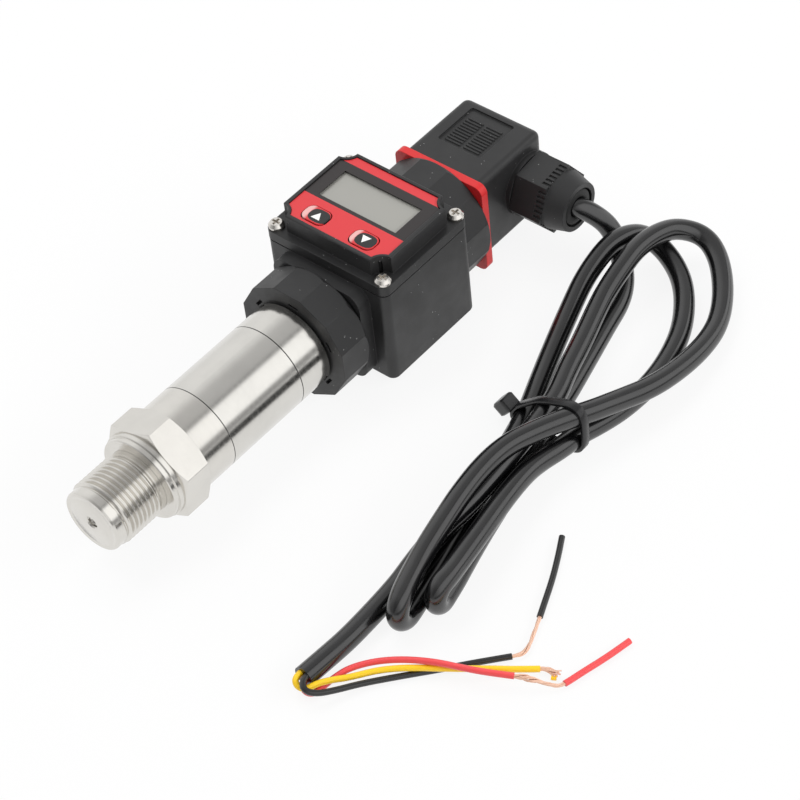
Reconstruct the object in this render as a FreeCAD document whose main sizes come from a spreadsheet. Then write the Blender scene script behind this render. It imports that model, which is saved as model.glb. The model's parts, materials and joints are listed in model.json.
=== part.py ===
import FreeCAD, Part
import os
import re
import math
import Sketcher
from FreeCAD import Vector, Rotation, Placement

# Pressure transmitter with a display head, a cable socket and a tied lead.
# It lies on its two coupling nuts: +X runs along the tube towards the socket,
# +Z out of the display, and Z = 0 is the surface that it lies on.
# Pieces of the transmitter are drawn about the tube's axis, from the centre of
# the display box, and are placed from there.

doc = FreeCAD.newDocument("pressure_transmitter")
sheet = doc.addObject("Spreadsheet::Sheet", "Sizes")

DRIVING = [
    # steel body
    ("tube_diameter", 26.5), ("tube_wall", 1.5), ("sleeve_length", 27.3),
    ("end_ring_length", 11.2), ("neck_wall", 2.4), ("lip_chamfer", 0.5),
    ("seam_chamfer", 0.15), ("spigot_depth", 4.0), ("steel_slip", 0.05),
    ("port_shoulder", 9.9), ("hex_flats", 27.0), ("hex_length", 9.5), ("hex_turn", 40),
    ("hex_chamfer_angle", 25), ("collar_diameter", 26.4), ("collar_length", 1.5),
    ("step_diameter", 25.4), ("step_length", 1.5), ("relief_diameter", 17.6),
    ("relief_length", 2.5), ("thread_diameter", 20.0), ("thread_length", 12.5),
    ("thread_lead_in", 0.6), ("nose_diameter", 18.6), ("nose_length", 3.0),
    ("nose_chamfer", 0.7), ("inlet_diameter", 3.3), ("inlet_mouth", 4.0),
    ("cell_diameter", 19.0), ("cell_length", 11.0), ("cell_slip", 0.05),
    ("cell_gap", 0.3), ("seal_section", 1.3), ("seal_setback", 4.0),
    ("header_diameter", 13.0), ("header_step", 1.5), ("header_pin", 0.7),
    ("header_pin_circle", 7.0), ("header_pin_length", 4.0),
    ("keeper_length", 2.5), ("keeper_bore", 14.0),
    # amplifier board in the tube
    ("amp_tongue_length", 10.0), ("amp_tongue_width", 17.0), ("amp_thickness", 1.6),
    ("amp_slip", 0.15), ("amp_start", 5.0), ("amp_end_gap", 0.3), ("amp_chip_start", 3.0),
    ("chip_length", 7.0), ("chip_width", 5.0), ("chip_height", 1.6), ("chip_pitch", 8.5),
    # front joint between the tube and the display box
    ("neck_diameter", 23.8), ("neck_length", 5.6), ("nut_flats", 35.4), ("nut_length", 10.5),
    ("nut_turn", 15), ("nut_chamfer_angle", 30), ("nut_lip", 1.9), ("nut_slip", 0.15),
    ("face_slot_turn", 97), ("face_slot_rim", 0.45), ("face_slot_height", 0.9),
    ("face_slot_width", 3.2), ("face_slot_depth", 1.2),
    ("tube_gap", 0.2), ("boss_gap", 0.45), ("ring_seal", 1.0), ("flange_rim", 2.3),
    ("flange_length", 2.0), ("shank_diameter", 22.0), ("shank_wall", 3.0),
    ("shank_slip", 0.05), ("lock_length", 2.6), ("lock_rim", 2.2), ("lock_notch_width", 4.0),
    ("lock_notch_depth", 1.2),
    # display box
    ("box_length", 35.5), ("box_width", 42.3), ("box_below", 16.0), ("box_above", 15.5),
    ("box_wall", 2.2), ("box_corner", 2.4), ("box_foot_round", 1.0), ("corner_post", 6.2),
    ("boss_square", 30.8), ("boss_corner", 4.6), ("boss_depth", 4.2),
    # lid and what it carries
    ("lid_seal", 0.5), ("lid_seal_inset", 0.8), ("lid_overhang", 0.1), ("lid_tier", 3.1),
    ("tier_ledge_x", 2.45), ("tier_ledge_y", 2.15), ("plateau_height", 5.8),
    ("plateau_notch", 3.9), ("plateau_round", 0.5), ("lid_wall", 4.75), ("lid_roof", 1.3),
    ("label_edge_x", 1.3), ("label_edge_y", 1.4), ("label_recess", 0.7),
    ("label_thickness", 0.3), ("label_notch", 4.7), ("label_slip", 0.1),
    ("screw_inset_x", 2.45), ("screw_inset_y", 2.25),
    ("screw_head", 4.6), ("screw_head_height", 1.7), ("screw_shank", 2.5),
    ("screw_length", 12.0), ("screw_slip", 0.15), ("cross_width", 0.7), ("cross_reach", 2.6),
    ("cross_depth", 0.9), ("lcd_x", 2.5), ("lcd_view_length", 11.2), ("lcd_view_width", 27.2),
    ("lcd_border", 0.8), ("lcd_thickness", 2.9), ("pane_thickness", 0.8), ("pane_slip", 0.1),
    ("board_thickness", 1.6), ("board_drop", 5.0), ("board_slip", 0.2),
    ("mount_post", 2.6), ("post_inset_x", 1.7), ("post_inset_y", 1.8),
    ("switch_size", 4.5), ("switch_height", 2.6), ("switch_well", 3.4), ("well_depth", 1.4),
    ("button_inset", 3.0), ("button_side", 8.0), ("button_length", 8.0), ("button_width", 5.6),
    ("button_slip", 0.3), ("button_proud", 0.3), ("button_travel", 0.5),
    ("button_foot", 4.6), ("button_foot_length", 9.2), ("button_foot_height", 0.9),
    ("button_stem", 2.6), ("ceiling_gap", 0.1),
    # rear joint between the display box and the socket
    ("rear_boss_diameter", 30.8), ("rear_boss_depth", 1.5), ("rear_neck_diameter", 27.8),
    ("rear_neck_length", 5.4), ("rear_bore", 18.0), ("rear_nut_length", 10.4),
    ("base_flange_length", 2.5), ("base_slip", 0.2), ("base_shank", 25.2),
    ("base_block", 18.4), ("base_block_chamfer", 1.2), ("gasket_square", 31.0),
    ("gasket_thickness", 2.5), ("gasket_corner", 2.6), ("gasket_gap", 0.15),
    ("blade_width", 5.0), ("blade_thickness", 0.8), ("blade_reach", 12.0),
    ("blade_offset", 6.4), ("blade_tail", 3.0),
    # cable socket
    ("plug_length", 28.3), ("plug_width", 27.0), ("plug_height", 27.5), ("plug_shift", 0.9),
    ("plug_corner", 2.0), ("plug_back_round", 2.5), ("plug_wall", 2.0), ("plug_back", 4.3),
    ("panel_start", 9.1), ("panel_length", 15.8), ("panel_width", 15.3), ("panel_depth", 0.6),
    ("panel_shift", 1.1), ("panel_corner", 0.8), ("rib_count", 10), ("rib_pitch", 1.15),
    ("rib_width", 0.55), ("rib_height", 0.35), ("rib_start", 1.3), ("rib_edge", 1.6),
    ("rib_split", 1.2),
    ("insert_length", 16.0), ("insert_slip", 0.1), ("slot_slip", 0.2),
    ("plug_screw", 2.9), ("plug_screw_head", 6.2), ("plug_screw_head_height", 2.2),
    ("plug_well", 7.4), ("plug_well_depth", 2.6), ("plug_washer", 0.8), ("driver_slot", 0.9),
    ("terminal_screw", 3.0), ("terminal_head", 3.8), ("terminal_depth", 3.0),
    ("terminal_head_height", 1.4),
    # cable gland
    ("gland_along", 20.3), ("gland_boss", 19.6), ("gland_boss_length", 1.6),
    ("gland_neck", 15.8), ("gland_neck_length", 7.0), ("gland_bore", 11.6),
    ("gland_flats", 18.5), ("gland_nut_length", 10.6), ("gland_cone_length", 6.0),
    ("gland_cone_tip", 15.0), ("gland_mouth", 12.0), ("gland_gap", 0.2), ("gland_turn", 7),
    ("grip_pitch", 1.5), ("grip_width", 0.8), ("grip_length", 2.4), ("grip_depth", 0.5),
    ("gland_washer", 1.0), ("seal_slip", 0.1), ("seal_nose", 9.2), ("seal_nose_length", 6.0),
    ("cable_diameter", 6.0), ("cable_slip", 0.05),
    # tied hank, cable tie and wires
    ("hank_height", 13.5), ("hank_margin", 4.0), ("tie_width", 2.6), ("tie_thickness", 1.0),
    ("tie_head", 6.0), ("tie_head_height", 5.0), ("tie_slip", 0.05), ("wire_diameter", 1.7),
    ("strand_diameter", 0.9), ("sleeve_slip", 0.05),
]

# Where each piece starts or ends along the tube's axis, and the radii that mating
# pieces share, all worked out from the driving sizes.
DERIVED = [
    ("axis_height", "nut_flats / 2"),
    ("tube_radius", "tube_diameter / 2"),
    ("tube_bore_radius", "tube_radius - tube_wall"),
    ("spigot_radius", "tube_bore_radius - steel_slip"),
    ("box_front", "-box_length / 2"),
    ("plateau_length", "box_length - 2 * tier_ledge_x"),
    ("plateau_width", "box_width - 2 * tier_ledge_y"),
    ("lid_room_length", "box_length - 2 * lid_wall"),
    ("lid_room_width", "box_width - 2 * lid_wall"),
    ("label_length", "plateau_length - 2 * label_edge_x"),
    ("label_width", "plateau_width - 2 * label_edge_y"),
    ("screw_x", "box_length / 2 - screw_inset_x"),
    ("screw_y", "box_width / 2 - screw_inset_y"),
    ("mount_post_x", "lid_room_length / 2 - post_inset_x"),
    ("mount_post_y", "lid_room_width / 2 - post_inset_y"),
    ("button_x", "button_inset - lid_room_length / 2"),
    ("button_y", "lid_room_width / 2 - button_side"),
    ("end_ring_bore", "neck_diameter - 2 * neck_wall"),
    ("flange_diameter", "shank_diameter + 2 * flange_rim"),
    ("shank_bore", "shank_diameter - 2 * shank_wall"),
    ("lock_diameter", "shank_diameter + 2 * lock_rim"),
    ("boss_front", "box_front - boss_depth"),
    ("nut_back", "boss_front - boss_gap"),
    ("nut_front", "nut_back - nut_length"),
    ("tube_end", "nut_front - tube_gap"),
    ("end_ring_front", "tube_end - end_ring_length"),
    ("sleeve_front", "end_ring_front - sleeve_length"),
    ("hex_back", "sleeve_front - port_shoulder"),
    ("hex_front", "hex_back - hex_length"),
    ("collar_front", "hex_front - collar_length"),
    ("step_front", "collar_front - step_length"),
    ("thread_back", "step_front - relief_length"),
    ("thread_front", "thread_back - thread_length"),
    ("nose_tip", "thread_front - nose_length"),
    ("port_back", "sleeve_front + spigot_depth"),
    ("pocket_radius", "cell_diameter / 2 + cell_slip"),
    ("cell_back", "port_back - keeper_length"),
    ("cell_front", "cell_back - cell_length"),
    ("pocket_floor", "cell_front - cell_gap"),
    ("seal_groove_radius", "pocket_radius - seal_section - cell_slip"),
    ("neck_end", "tube_end + neck_length"),
    ("flange_front", "neck_end + ring_seal"),
    ("flange_back", "flange_front + flange_length"),
    ("nut_lip_front", "nut_back - nut_lip"),
    ("nut_chamber_radius", "flange_diameter / 2 + nut_slip"),
    ("box_inner_front", "box_front + box_wall"),
    ("lock_back", "box_inner_front + lock_length"),
    ("lid_bottom", "box_above + lid_seal"),
    ("lid_tier_top", "lid_bottom + lid_tier"),
    ("lid_top", "lid_tier_top + plateau_height"),
    ("label_floor", "lid_top - label_recess"),
    ("lid_ceiling", "label_floor - lid_roof"),
    ("lcd_length", "lcd_view_length + 2 * lcd_border"),
    ("lcd_width", "lcd_view_width + 2 * lcd_border"),
    ("board_top", "lid_ceiling - board_drop"),
    ("switch_top", "board_top + switch_height"),
    ("foot_top", "lid_ceiling - ceiling_gap"),
    ("foot_bottom", "foot_top - button_foot_height"),
    ("rear_boss_back", "box_length / 2 + rear_boss_depth"),
    ("rear_neck_end", "rear_boss_back + rear_neck_length"),
    ("rear_nut_front", "rear_boss_back + boss_gap"),
    ("rear_nut_back", "rear_nut_front + rear_nut_length"),
    ("base_flange_front", "rear_neck_end + ring_seal"),
    ("base_flange_back", "base_flange_front + base_flange_length"),
    ("base_flange_radius", "rear_neck_diameter / 2 - base_slip"),
    ("gasket_front", "rear_nut_back + gasket_gap"),
    ("plug_front", "gasket_front + gasket_thickness"),
    ("plug_end", "plug_front + plug_length"),
    ("plug_inner_end", "plug_end - plug_back"),
    ("insert_back", "plug_front + insert_length"),
    ("screw_seat", "plug_end - plug_well_depth"),
    ("screw_head_front", "screw_seat + plug_washer"),
    ("screw_head_back", "screw_head_front + plug_screw_head_height"),
    ("model_back", "max(plug_end; screw_head_back)"),
    ("origin_shift", "-(nose_tip + model_back) / 2"),
    ("gland_x", "plug_front + gland_along"),
    ("plug_side", "plug_shift - plug_width / 2"),
    ("gland_boss_side", "plug_side - gland_boss_length"),
    ("gland_neck_side", "gland_boss_side - gland_neck_length"),
    ("gland_nut_start", "gland_boss_side - gland_gap"),
    ("gland_shoulder", "gland_neck_side - gland_washer - gland_gap"),
    ("gland_hex_end", "gland_nut_start - gland_nut_length"),
    ("gland_tip", "gland_hex_end - gland_cone_length"),
    ("wire_radius", "wire_diameter / 2"),
]


def fill_sheet():
    """Write the driving numbers and then the formulas, one alias to a row."""
    row = 0
    for alias, number in DRIVING:
        row += 1
        sheet.set("A%d" % row, alias)
        sheet.set("B%d" % row, str(number))
        sheet.setAlias("B%d" % row, alias)
    for alias, formula in DERIVED:
        row += 1
        sheet.set("A%d" % row, alias)
        sheet.set("B%d" % row, "=" + formula)
        sheet.setAlias("B%d" % row, alias)
    doc.recompute()


fill_sheet()
ALIASES = sorted([name for name, _ in DRIVING + DERIVED], key=len, reverse=True)
ALIAS_WORD = re.compile(r"\b(%s)\b" % "|".join(ALIASES))


def bound(expression):
    """The expression with every alias read from the sheet."""
    return ALIAS_WORD.sub(r"Sizes.\1", str(expression))


def value(expression):
    """The expression's present value in millimetres, or as a plain number."""
    result = sheet.evalExpression(str(expression))
    return float(getattr(result, "Value", result))


def bind(item, target, expression):
    """Bind one property of an object to the sheet."""
    item.setExpression(target, bound(expression))


# ---------------------------------------------------------------- sketches and features

def place_on_axis(item):
    """Carry a piece from the tube's own frame to where the transmitter lies."""
    bind(item, "Placement.Base.x", "origin_shift")
    bind(item, "Placement.Base.z", "axis_height")


def new_body(label):
    """An empty body, placed with the tube's axis."""
    body = doc.addObject("PartDesign::Body", label)
    body.Label = label
    place_on_axis(body)
    return body


def new_sketch(body, name, role, offset="0"):
    """A sketch on one of the body's origin planes, moved along the plane's normal."""
    sketch = body.newObject("Sketcher::SketchObject", body.Label + "_" + name)
    plane = [item for item in body.Origin.OriginFeatures if item.Role == role][0]
    sketch.AttachmentSupport = [(plane, "")]
    sketch.MapMode = "FlatFace"
    sketch.AttachmentOffset = Placement(Vector(0, 0, value(offset)), Rotation())
    if str(offset) != "0":
        bind(sketch, "AttachmentOffset.Base.z", offset)
    return sketch


def datum(sketch, kind, geometry, point, expression):
    """Tie one coordinate of a point to an expression."""
    index = sketch.addConstraint(
        Sketcher.Constraint(kind, -1, 1, geometry, point, value(expression)))
    bind(sketch, "Constraints[%d]" % index, expression)


def polygon(sketch, points):
    """A closed outline of straight edges, with each corner tied to the sheet."""
    first = sketch.GeometryCount
    count = len(points)
    corners = [Vector(value(across), value(up), 0) for across, up in points]
    for number in range(count):
        edge = Part.LineSegment(corners[number], corners[(number + 1) % count])
        sketch.addGeometry(edge, False)
    for number in range(count):
        following = first + (number + 1) % count
        sketch.addConstraint(Sketcher.Constraint("Coincident", first + number, 2, following, 1))
    for number, (across, up) in enumerate(points):
        datum(sketch, "DistanceX", first + number, 1, across)
        datum(sketch, "DistanceY", first + number, 1, up)


def circle(sketch, across, up, radius):
    """A full circle with its centre and radius tied to the sheet."""
    ring = Part.Circle(Vector(value(across), value(up), 0), Vector(0, 0, 1), value(radius))
    index = sketch.addGeometry(ring, False)
    datum(sketch, "DistanceX", index, 3, across)
    datum(sketch, "DistanceY", index, 3, up)
    size = sketch.addConstraint(Sketcher.Constraint("Radius", index, value(radius)))
    bind(sketch, "Constraints[%d]" % size, radius)


def rounded_rectangle(sketch, across, up, width, height, corner):
    """A rectangle with four equal round corners, about a centre."""
    x, y = value(across), value(up)
    half_w, half_h, r = value(width) / 2, value(height) / 2, value(corner)
    first = sketch.GeometryCount
    ends = [((-half_w + r, -half_h), (half_w - r, -half_h)),
            ((half_w, -half_h + r), (half_w, half_h - r)),
            ((half_w - r, half_h), (-half_w + r, half_h)),
            ((-half_w, half_h - r), (-half_w, -half_h + r))]
    for (ax, ay), (bx, by) in ends:
        sketch.addGeometry(Part.LineSegment(Vector(x + ax, y + ay, 0),
                                            Vector(x + bx, y + by, 0)), False)
    centres = [(half_w - r, -half_h + r), (half_w - r, half_h - r),
               (-half_w + r, half_h - r), (-half_w + r, -half_h + r)]
    for number, (cx, cy) in enumerate(centres):
        round_edge = Part.Circle(Vector(x + cx, y + cy, 0), Vector(0, 0, 1), r)
        start = math.radians(-90 + 90 * number)
        arc = Part.ArcOfCircle(round_edge, start, start + math.pi / 2)
        sketch.addGeometry(arc, False)
    for number in range(4):
        arc = first + 4 + number
        sketch.addConstraint(Sketcher.Constraint("Tangent", first + number, 2, arc, 1))
        sketch.addConstraint(Sketcher.Constraint("Tangent", arc, 2, first + (number + 1) % 4, 1))
    for number in (1, 2, 3):
        sketch.addConstraint(Sketcher.Constraint("Equal", first + 4, first + 4 + number))
    for number, kind in enumerate(("Horizontal", "Vertical", "Horizontal", "Vertical")):
        sketch.addConstraint(Sketcher.Constraint(kind, first + number))
    size = sketch.addConstraint(Sketcher.Constraint("Radius", first + 4, r))
    bind(sketch, "Constraints[%d]" % size, corner)
    datum(sketch, "DistanceY", first, 1, "%s - (%s) / 2" % (up, height))
    datum(sketch, "DistanceX", first + 1, 1, "%s + (%s) / 2" % (across, width))
    datum(sketch, "DistanceY", first + 2, 1, "%s + (%s) / 2" % (up, height))
    datum(sketch, "DistanceX", first + 3, 1, "%s - (%s) / 2" % (across, width))


def rectangle(sketch, across, up, width, height):
    """A plain rectangle about a centre."""
    left = "%s - (%s) / 2" % (across, width)
    right = "%s + (%s) / 2" % (across, width)
    low = "%s - (%s) / 2" % (up, height)
    high = "%s + (%s) / 2" % (up, height)
    polygon(sketch, [(left, low), (right, low), (right, high), (left, high)])


def regular_polygon(sketch, sides, flats, turn, across="0", up="0"):
    """A regular polygon of a given width across flats, its first corner turned."""
    reach = "(%s) / 2 / cos(%gdeg)" % (flats, 180.0 / sides)
    points = []
    for number in range(sides):
        angle = "(%s) * 1deg + %gdeg" % (turn, number * 360.0 / sides)
        points.append(("%s + %s * cos(%s)" % (across, reach, angle),
                       "%s + %s * sin(%s)" % (up, reach, angle)))
    polygon(sketch, points)


def turned_notch(sketch, facing, near, far, width, along="0", across="0"):
    """A rectangle that lies between two distances from a centre, on a turned ray."""
    corners = [(out, "(%s %s (%s) / 2)" % (along, side, width))
               for out, side in ((near, "-"), (far, "-"), (far, "+"), (near, "+"))]
    polygon(sketch, [("%s + (%s) * cos(%s) - %s * sin(%s)" % (across, out, facing, aside, facing),
                      "(%s) * sin(%s) + %s * cos(%s)" % (out, facing, aside, facing))
                     for out, aside in corners])


def finish_feature(body, feature):
    """Recompute a new feature and stop with its name if it failed."""
    doc.recompute()
    if "Invalid" in feature.State or "Error" in feature.State:
        raise RuntimeError("feature failed: " + feature.Name)
    body.Tip = feature
    return feature


def pad(body, sketch, length, reverse=False):
    """Extrude a sketch along its normal, or against it."""
    feature = body.newObject("PartDesign::Pad", sketch.Name + "_pad")
    feature.Profile = sketch
    feature.Length = value(length)
    bind(feature, "Length", length)
    feature.Reversed = reverse
    return finish_feature(body, feature)


def pocket(body, sketch, depth, along_normal=False):
    """Cut a sketch into the body. A pocket runs against the sketch's normal."""
    before = body.Shape.Volume
    feature = body.newObject("PartDesign::Pocket", sketch.Name + "_pocket")
    feature.Profile = sketch
    feature.Length = value(depth)
    bind(feature, "Length", depth)
    feature.Reversed = along_normal
    finish_feature(body, feature)
    if feature.Shape.Volume >= before:
        raise RuntimeError("pocket cuts nothing: " + feature.Name)
    return feature


def revolve(body, sketch, axis="H_Axis"):
    """Turn a profile all the way round one of its sketch's axes."""
    feature = body.newObject("PartDesign::Revolution", sketch.Name + "_turned")
    feature.Profile = sketch
    feature.ReferenceAxis = (sketch, [axis])
    feature.Angle = 360
    return finish_feature(body, feature)


def groove(body, sketch, axis="H_Axis"):
    """Turn a profile all the way round and cut it from the body."""
    before = body.Shape.Volume
    feature = body.newObject("PartDesign::Groove", sketch.Name + "_groove")
    feature.Profile = sketch
    feature.ReferenceAxis = (sketch, [axis])
    feature.Angle = 360
    finish_feature(body, feature)
    if feature.Shape.Volume >= before:
        raise RuntimeError("groove cuts nothing: " + feature.Name)
    return feature


def repeat_along(body, sketch, pitch, count):
    """Repeat the body's last feature along its sketch's first direction."""
    feature = body.newObject("PartDesign::LinearPattern", sketch.Name + "_row")
    feature.Originals = [body.Tip]
    feature.Direction = (sketch, ["H_Axis"])
    for name, expression in (("Length", "%s * (%s - 1)" % (pitch, count)),
                             ("Occurrences", count)):
        bind(feature, name, expression)
    return finish_feature(body, feature)


def repeat_round(body, sketch, axis, count):
    """Repeat the body's last feature all the way round one of a sketch's axes."""
    feature = body.newObject("PartDesign::PolarPattern", body.Tip.Name + "_ring")
    feature.Originals = [body.Tip]
    feature.Axis = (sketch, [axis])
    feature.Angle = 360
    feature.Occurrences = count
    return finish_feature(body, feature)


def fillet(body, edges, radius):
    """Round the edges of the body's last feature that the test picks."""
    base = body.Tip
    names = ["Edge%d" % (number + 1) for number, edge in enumerate(base.Shape.Edges)
             if edges(edge)]
    feature = body.newObject("PartDesign::Fillet", body.Label + "_round_%d" % len(body.Group))
    feature.Base = (base, names)
    feature.Radius = value(radius)
    bind(feature, "Radius", radius)
    return finish_feature(body, feature)


def all_at(axis, expression, tolerance=0.01):
    """A test for edges that lie wholly at one height along an axis."""
    level = value(expression)

    def picks(edge):
        box = edge.BoundBox
        low, high = {"x": (box.XMin, box.XMax), "y": (box.YMin, box.YMax),
                     "z": (box.ZMin, box.ZMax)}[axis]
        return abs(low - level) < tolerance and abs(high - level) < tolerance
    return picks


def turned(label, profile):
    """A piece turned about the tube's axis from corners of (distance along, radius)."""
    body = new_body(label)
    sketch = new_sketch(body, "profile", "XZ_Plane")
    polygon(sketch, profile)
    revolve(body, sketch)
    return body


def ring(label, front, back, inner, outer):
    """A plain turned ring."""
    return turned(label, [(front, inner), (back, inner), (back, outer), (front, outer)])


def corner_trim(body, name, front, back, flat_radius, corner_radius, angle, ends):
    """Cut the corners of a polygon back to a cone at its front, its back or both."""
    sketch = new_sketch(body, name, "XZ_Plane")
    reach = "(%s - (%s) + 1)" % (corner_radius, flat_radius)
    run = "%s * tan((%s) * 1deg)" % (reach, angle)
    outer = "(%s) + 1" % corner_radius
    if "front" in ends:
        polygon(sketch, [(front, flat_radius), ("%s + %s" % (front, run), outer), (front, outer)])
    if "back" in ends:
        polygon(sketch, [(back, flat_radius), (back, outer), ("%s - %s" % (back, run), outer)])
    groove(body, sketch)


def primitive(kind, name, sizes, turn=None, **at):
    """A Part primitive with its sizes and place bound to the sheet."""
    item = doc.addObject(kind, name)
    for key, expression in sizes.items():
        setattr(item, key, value(expression))
        bind(item, key, expression)
    if turn is not None:
        item.Placement = Placement(Vector(), turn)
    for axis, expression in at.items():
        bind(item, "Placement.Base." + axis, expression)
    return item


ALONG_X = Rotation(Vector(0, 1, 0), 90)
ALONG_MINUS_Y = Rotation(Vector(1, 0, 0), 90)
ALONG_MINUS_Z = Rotation(Vector(1, 0, 0), 180)


def cylinder(name, radius, length, turn=None, **at):
    """A Part cylinder that runs along +Z, or as turned."""
    return primitive("Part::Cylinder", name, {"Radius": radius, "Height": length}, turn, **at)


def block(name, length, width, height, **at):
    """A Part box from its lowest corner."""
    return primitive("Part::Box", name, {"Length": length, "Width": width, "Height": height},
                     None, **at)


def fuse(name, *items):
    """Several Part objects joined into one."""
    item = doc.addObject("Part::MultiFuse", name)
    item.Shapes = list(items)
    return item


def cut(name, base, tool):
    """One Part object cut from another."""
    item = doc.addObject("Part::Cut", name)
    item.Base = base
    item.Tool = tool
    return item


def group(label, items):
    """Several solids kept apart in one piece's file, placed with the tube's axis."""
    item = doc.addObject("Part::Compound", label)
    item.Label = label
    item.Links = list(items)
    place_on_axis(item)
    return item


def seated(item, label):
    """Name a Part object as a piece and place it with the tube's axis."""
    item.Label = label
    place_on_axis(item)
    return item


# ---------------------------------------------------------------- steel body

def make_pressure_port():
    """Turned port: nose, thread land, relief, sealing collars, hexagon and sensor pocket."""
    nose, core = "nose_diameter / 2", "hex_flats / 2 - 0.2"
    thread, relief = "thread_diameter / 2", "relief_diameter / 2"
    step, collar, inlet = "step_diameter / 2", "collar_diameter / 2", "inlet_diameter / 2"
    mouth = "inlet_mouth / 2"
    body = turned("pressure_port", [
        ("nose_tip", mouth),
        ("nose_tip", nose + " - nose_chamfer"),
        ("nose_tip + nose_chamfer", nose),
        ("thread_front", nose),
        ("thread_front + thread_lead_in", thread),
        ("thread_back", thread),
        ("thread_back", relief),
        ("step_front", relief),
        ("step_front", step),
        ("collar_front", step),
        ("collar_front", collar),
        ("hex_front", collar),
        ("hex_front", core),
        ("hex_back", core),
        ("hex_back", "tube_radius"),
        ("sleeve_front - seam_chamfer", "tube_radius"),
        ("sleeve_front", "tube_radius - seam_chamfer"),
        ("sleeve_front", "spigot_radius"),
        ("port_back", "spigot_radius"),
        ("port_back", "pocket_radius"),
        ("pocket_floor", "pocket_radius"),
        ("pocket_floor", inlet),
        ("nose_tip + (%s) - (%s)" % (mouth, inlet), inlet)])
    sketch = new_sketch(body, "hexagon", "YZ_Plane", "hex_front")
    regular_polygon(sketch, 6, "hex_flats", "hex_turn")
    circle(sketch, "0", "0", "pocket_radius")
    pad(body, sketch, "hex_length")
    corner_trim(body, "hex_corners", "hex_front", "hex_back", "hex_flats / 2",
                "hex_flats / 2 / cos(30deg)", "hex_chamfer_angle", ("front", "back"))
    return body


def make_sensor_cell():
    """Oil-filled measuring cell with a seal groove, a header step and four pins."""
    outer = "cell_diameter / 2"
    groove_front = "cell_front + seal_setback"
    groove_back = "%s + seal_section + 0.4" % groove_front
    body = turned("sensor_cell", [
        ("cell_front", "0"),
        ("cell_front", outer),
        (groove_front, outer),
        (groove_front, "seal_groove_radius"),
        (groove_back, "seal_groove_radius"),
        (groove_back, outer),
        ("cell_back", outer),
        ("cell_back", "header_diameter / 2"),
        ("cell_back + header_step", "header_diameter / 2"),
        ("cell_back + header_step", "0")])
    sketch = new_sketch(body, "pins", "YZ_Plane", "cell_back + header_step")
    for number in range(4):
        angle = "%gdeg" % (45 + 90 * number)
        circle(sketch, "header_pin_circle / 2 * cos(%s)" % angle,
               "header_pin_circle / 2 * sin(%s)" % angle, "header_pin / 2")
    pad(body, sketch, "header_pin_length")
    return body


def make_cell_seal():
    """Round-section seal ring in the cell's groove."""
    item = primitive("Part::Torus", "cell_seal_torus",
                     {"Radius1": "seal_groove_radius + seal_section / 2",
                      "Radius2": "seal_section / 2"}, ALONG_X,
                     x="cell_front + seal_setback + seal_section / 2 + 0.2")
    return group("cell_seal_ring", [item])


def make_cell_keeper():
    """Screwed ring that holds the cell, with two spanner holes."""
    body = ring("cell_retaining_ring", "cell_back", "port_back",
                "keeper_bore / 2", "pocket_radius - cell_slip")
    sketch = new_sketch(body, "spanner_holes", "YZ_Plane", "port_back")
    middle = "(keeper_bore / 2 + pocket_radius) / 2"
    for side in ("", "-"):
        circle(sketch, side + middle, "0", "0.6")
    pocket(body, sketch, "keeper_length / 2")
    return body


def make_sleeve():
    """Middle length of the tube, between two welded seams."""
    return turned("sensor_sleeve", [
        ("sleeve_front", "tube_bore_radius"),
        ("sleeve_front", "tube_radius - seam_chamfer"),
        ("sleeve_front + seam_chamfer", "tube_radius"),
        ("end_ring_front - seam_chamfer", "tube_radius"),
        ("end_ring_front", "tube_radius - seam_chamfer"),
        ("end_ring_front", "tube_bore_radius")])


def make_end_ring():
    """Last length of the tube: bright lip, and the neck that the nut screws on."""
    bore = "end_ring_bore / 2"
    return turned("tube_end_ring", [
        ("end_ring_front - spigot_depth", bore),
        ("end_ring_front - spigot_depth", "spigot_radius"),
        ("end_ring_front", "spigot_radius"),
        ("end_ring_front", "tube_radius - seam_chamfer"),
        ("end_ring_front + seam_chamfer", "tube_radius"),
        ("tube_end - lip_chamfer", "tube_radius"),
        ("tube_end", "tube_radius - lip_chamfer"),
        ("tube_end", "neck_diameter / 2"),
        ("neck_end", "neck_diameter / 2"),
        ("neck_end", bore)])


def make_amplifier_board():
    """Circuit board held by the tube's bore, with chips and a tongue to the display box."""
    half = "amp_thickness / 2"
    width = "2 * (tube_bore_radius - amp_slip)"
    start = "sleeve_front + amp_start"
    length = "sleeve_length - amp_start - spigot_depth - amp_end_gap"
    items = [block("amp_plate", length, width, "amp_thickness",
                   x=start, y="-(%s) / 2" % width, z="-" + half),
             block("amp_tongue", "%s + amp_tongue_length" % length, "amp_tongue_width",
                   "amp_thickness", x=start, y="-amp_tongue_width / 2", z="-" + half)]
    for number in range(2):
        items.append(block("amp_chip_%d" % number, "chip_length", "chip_width", "chip_height",
                           x="%s + amp_chip_start + %d * chip_pitch" % (start, number),
                           y="-chip_width / 2", z=half))
    return seated(fuse("amp_fuse", *items), "amplifier_board")


# ---------------------------------------------------------------- coupling nuts

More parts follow.
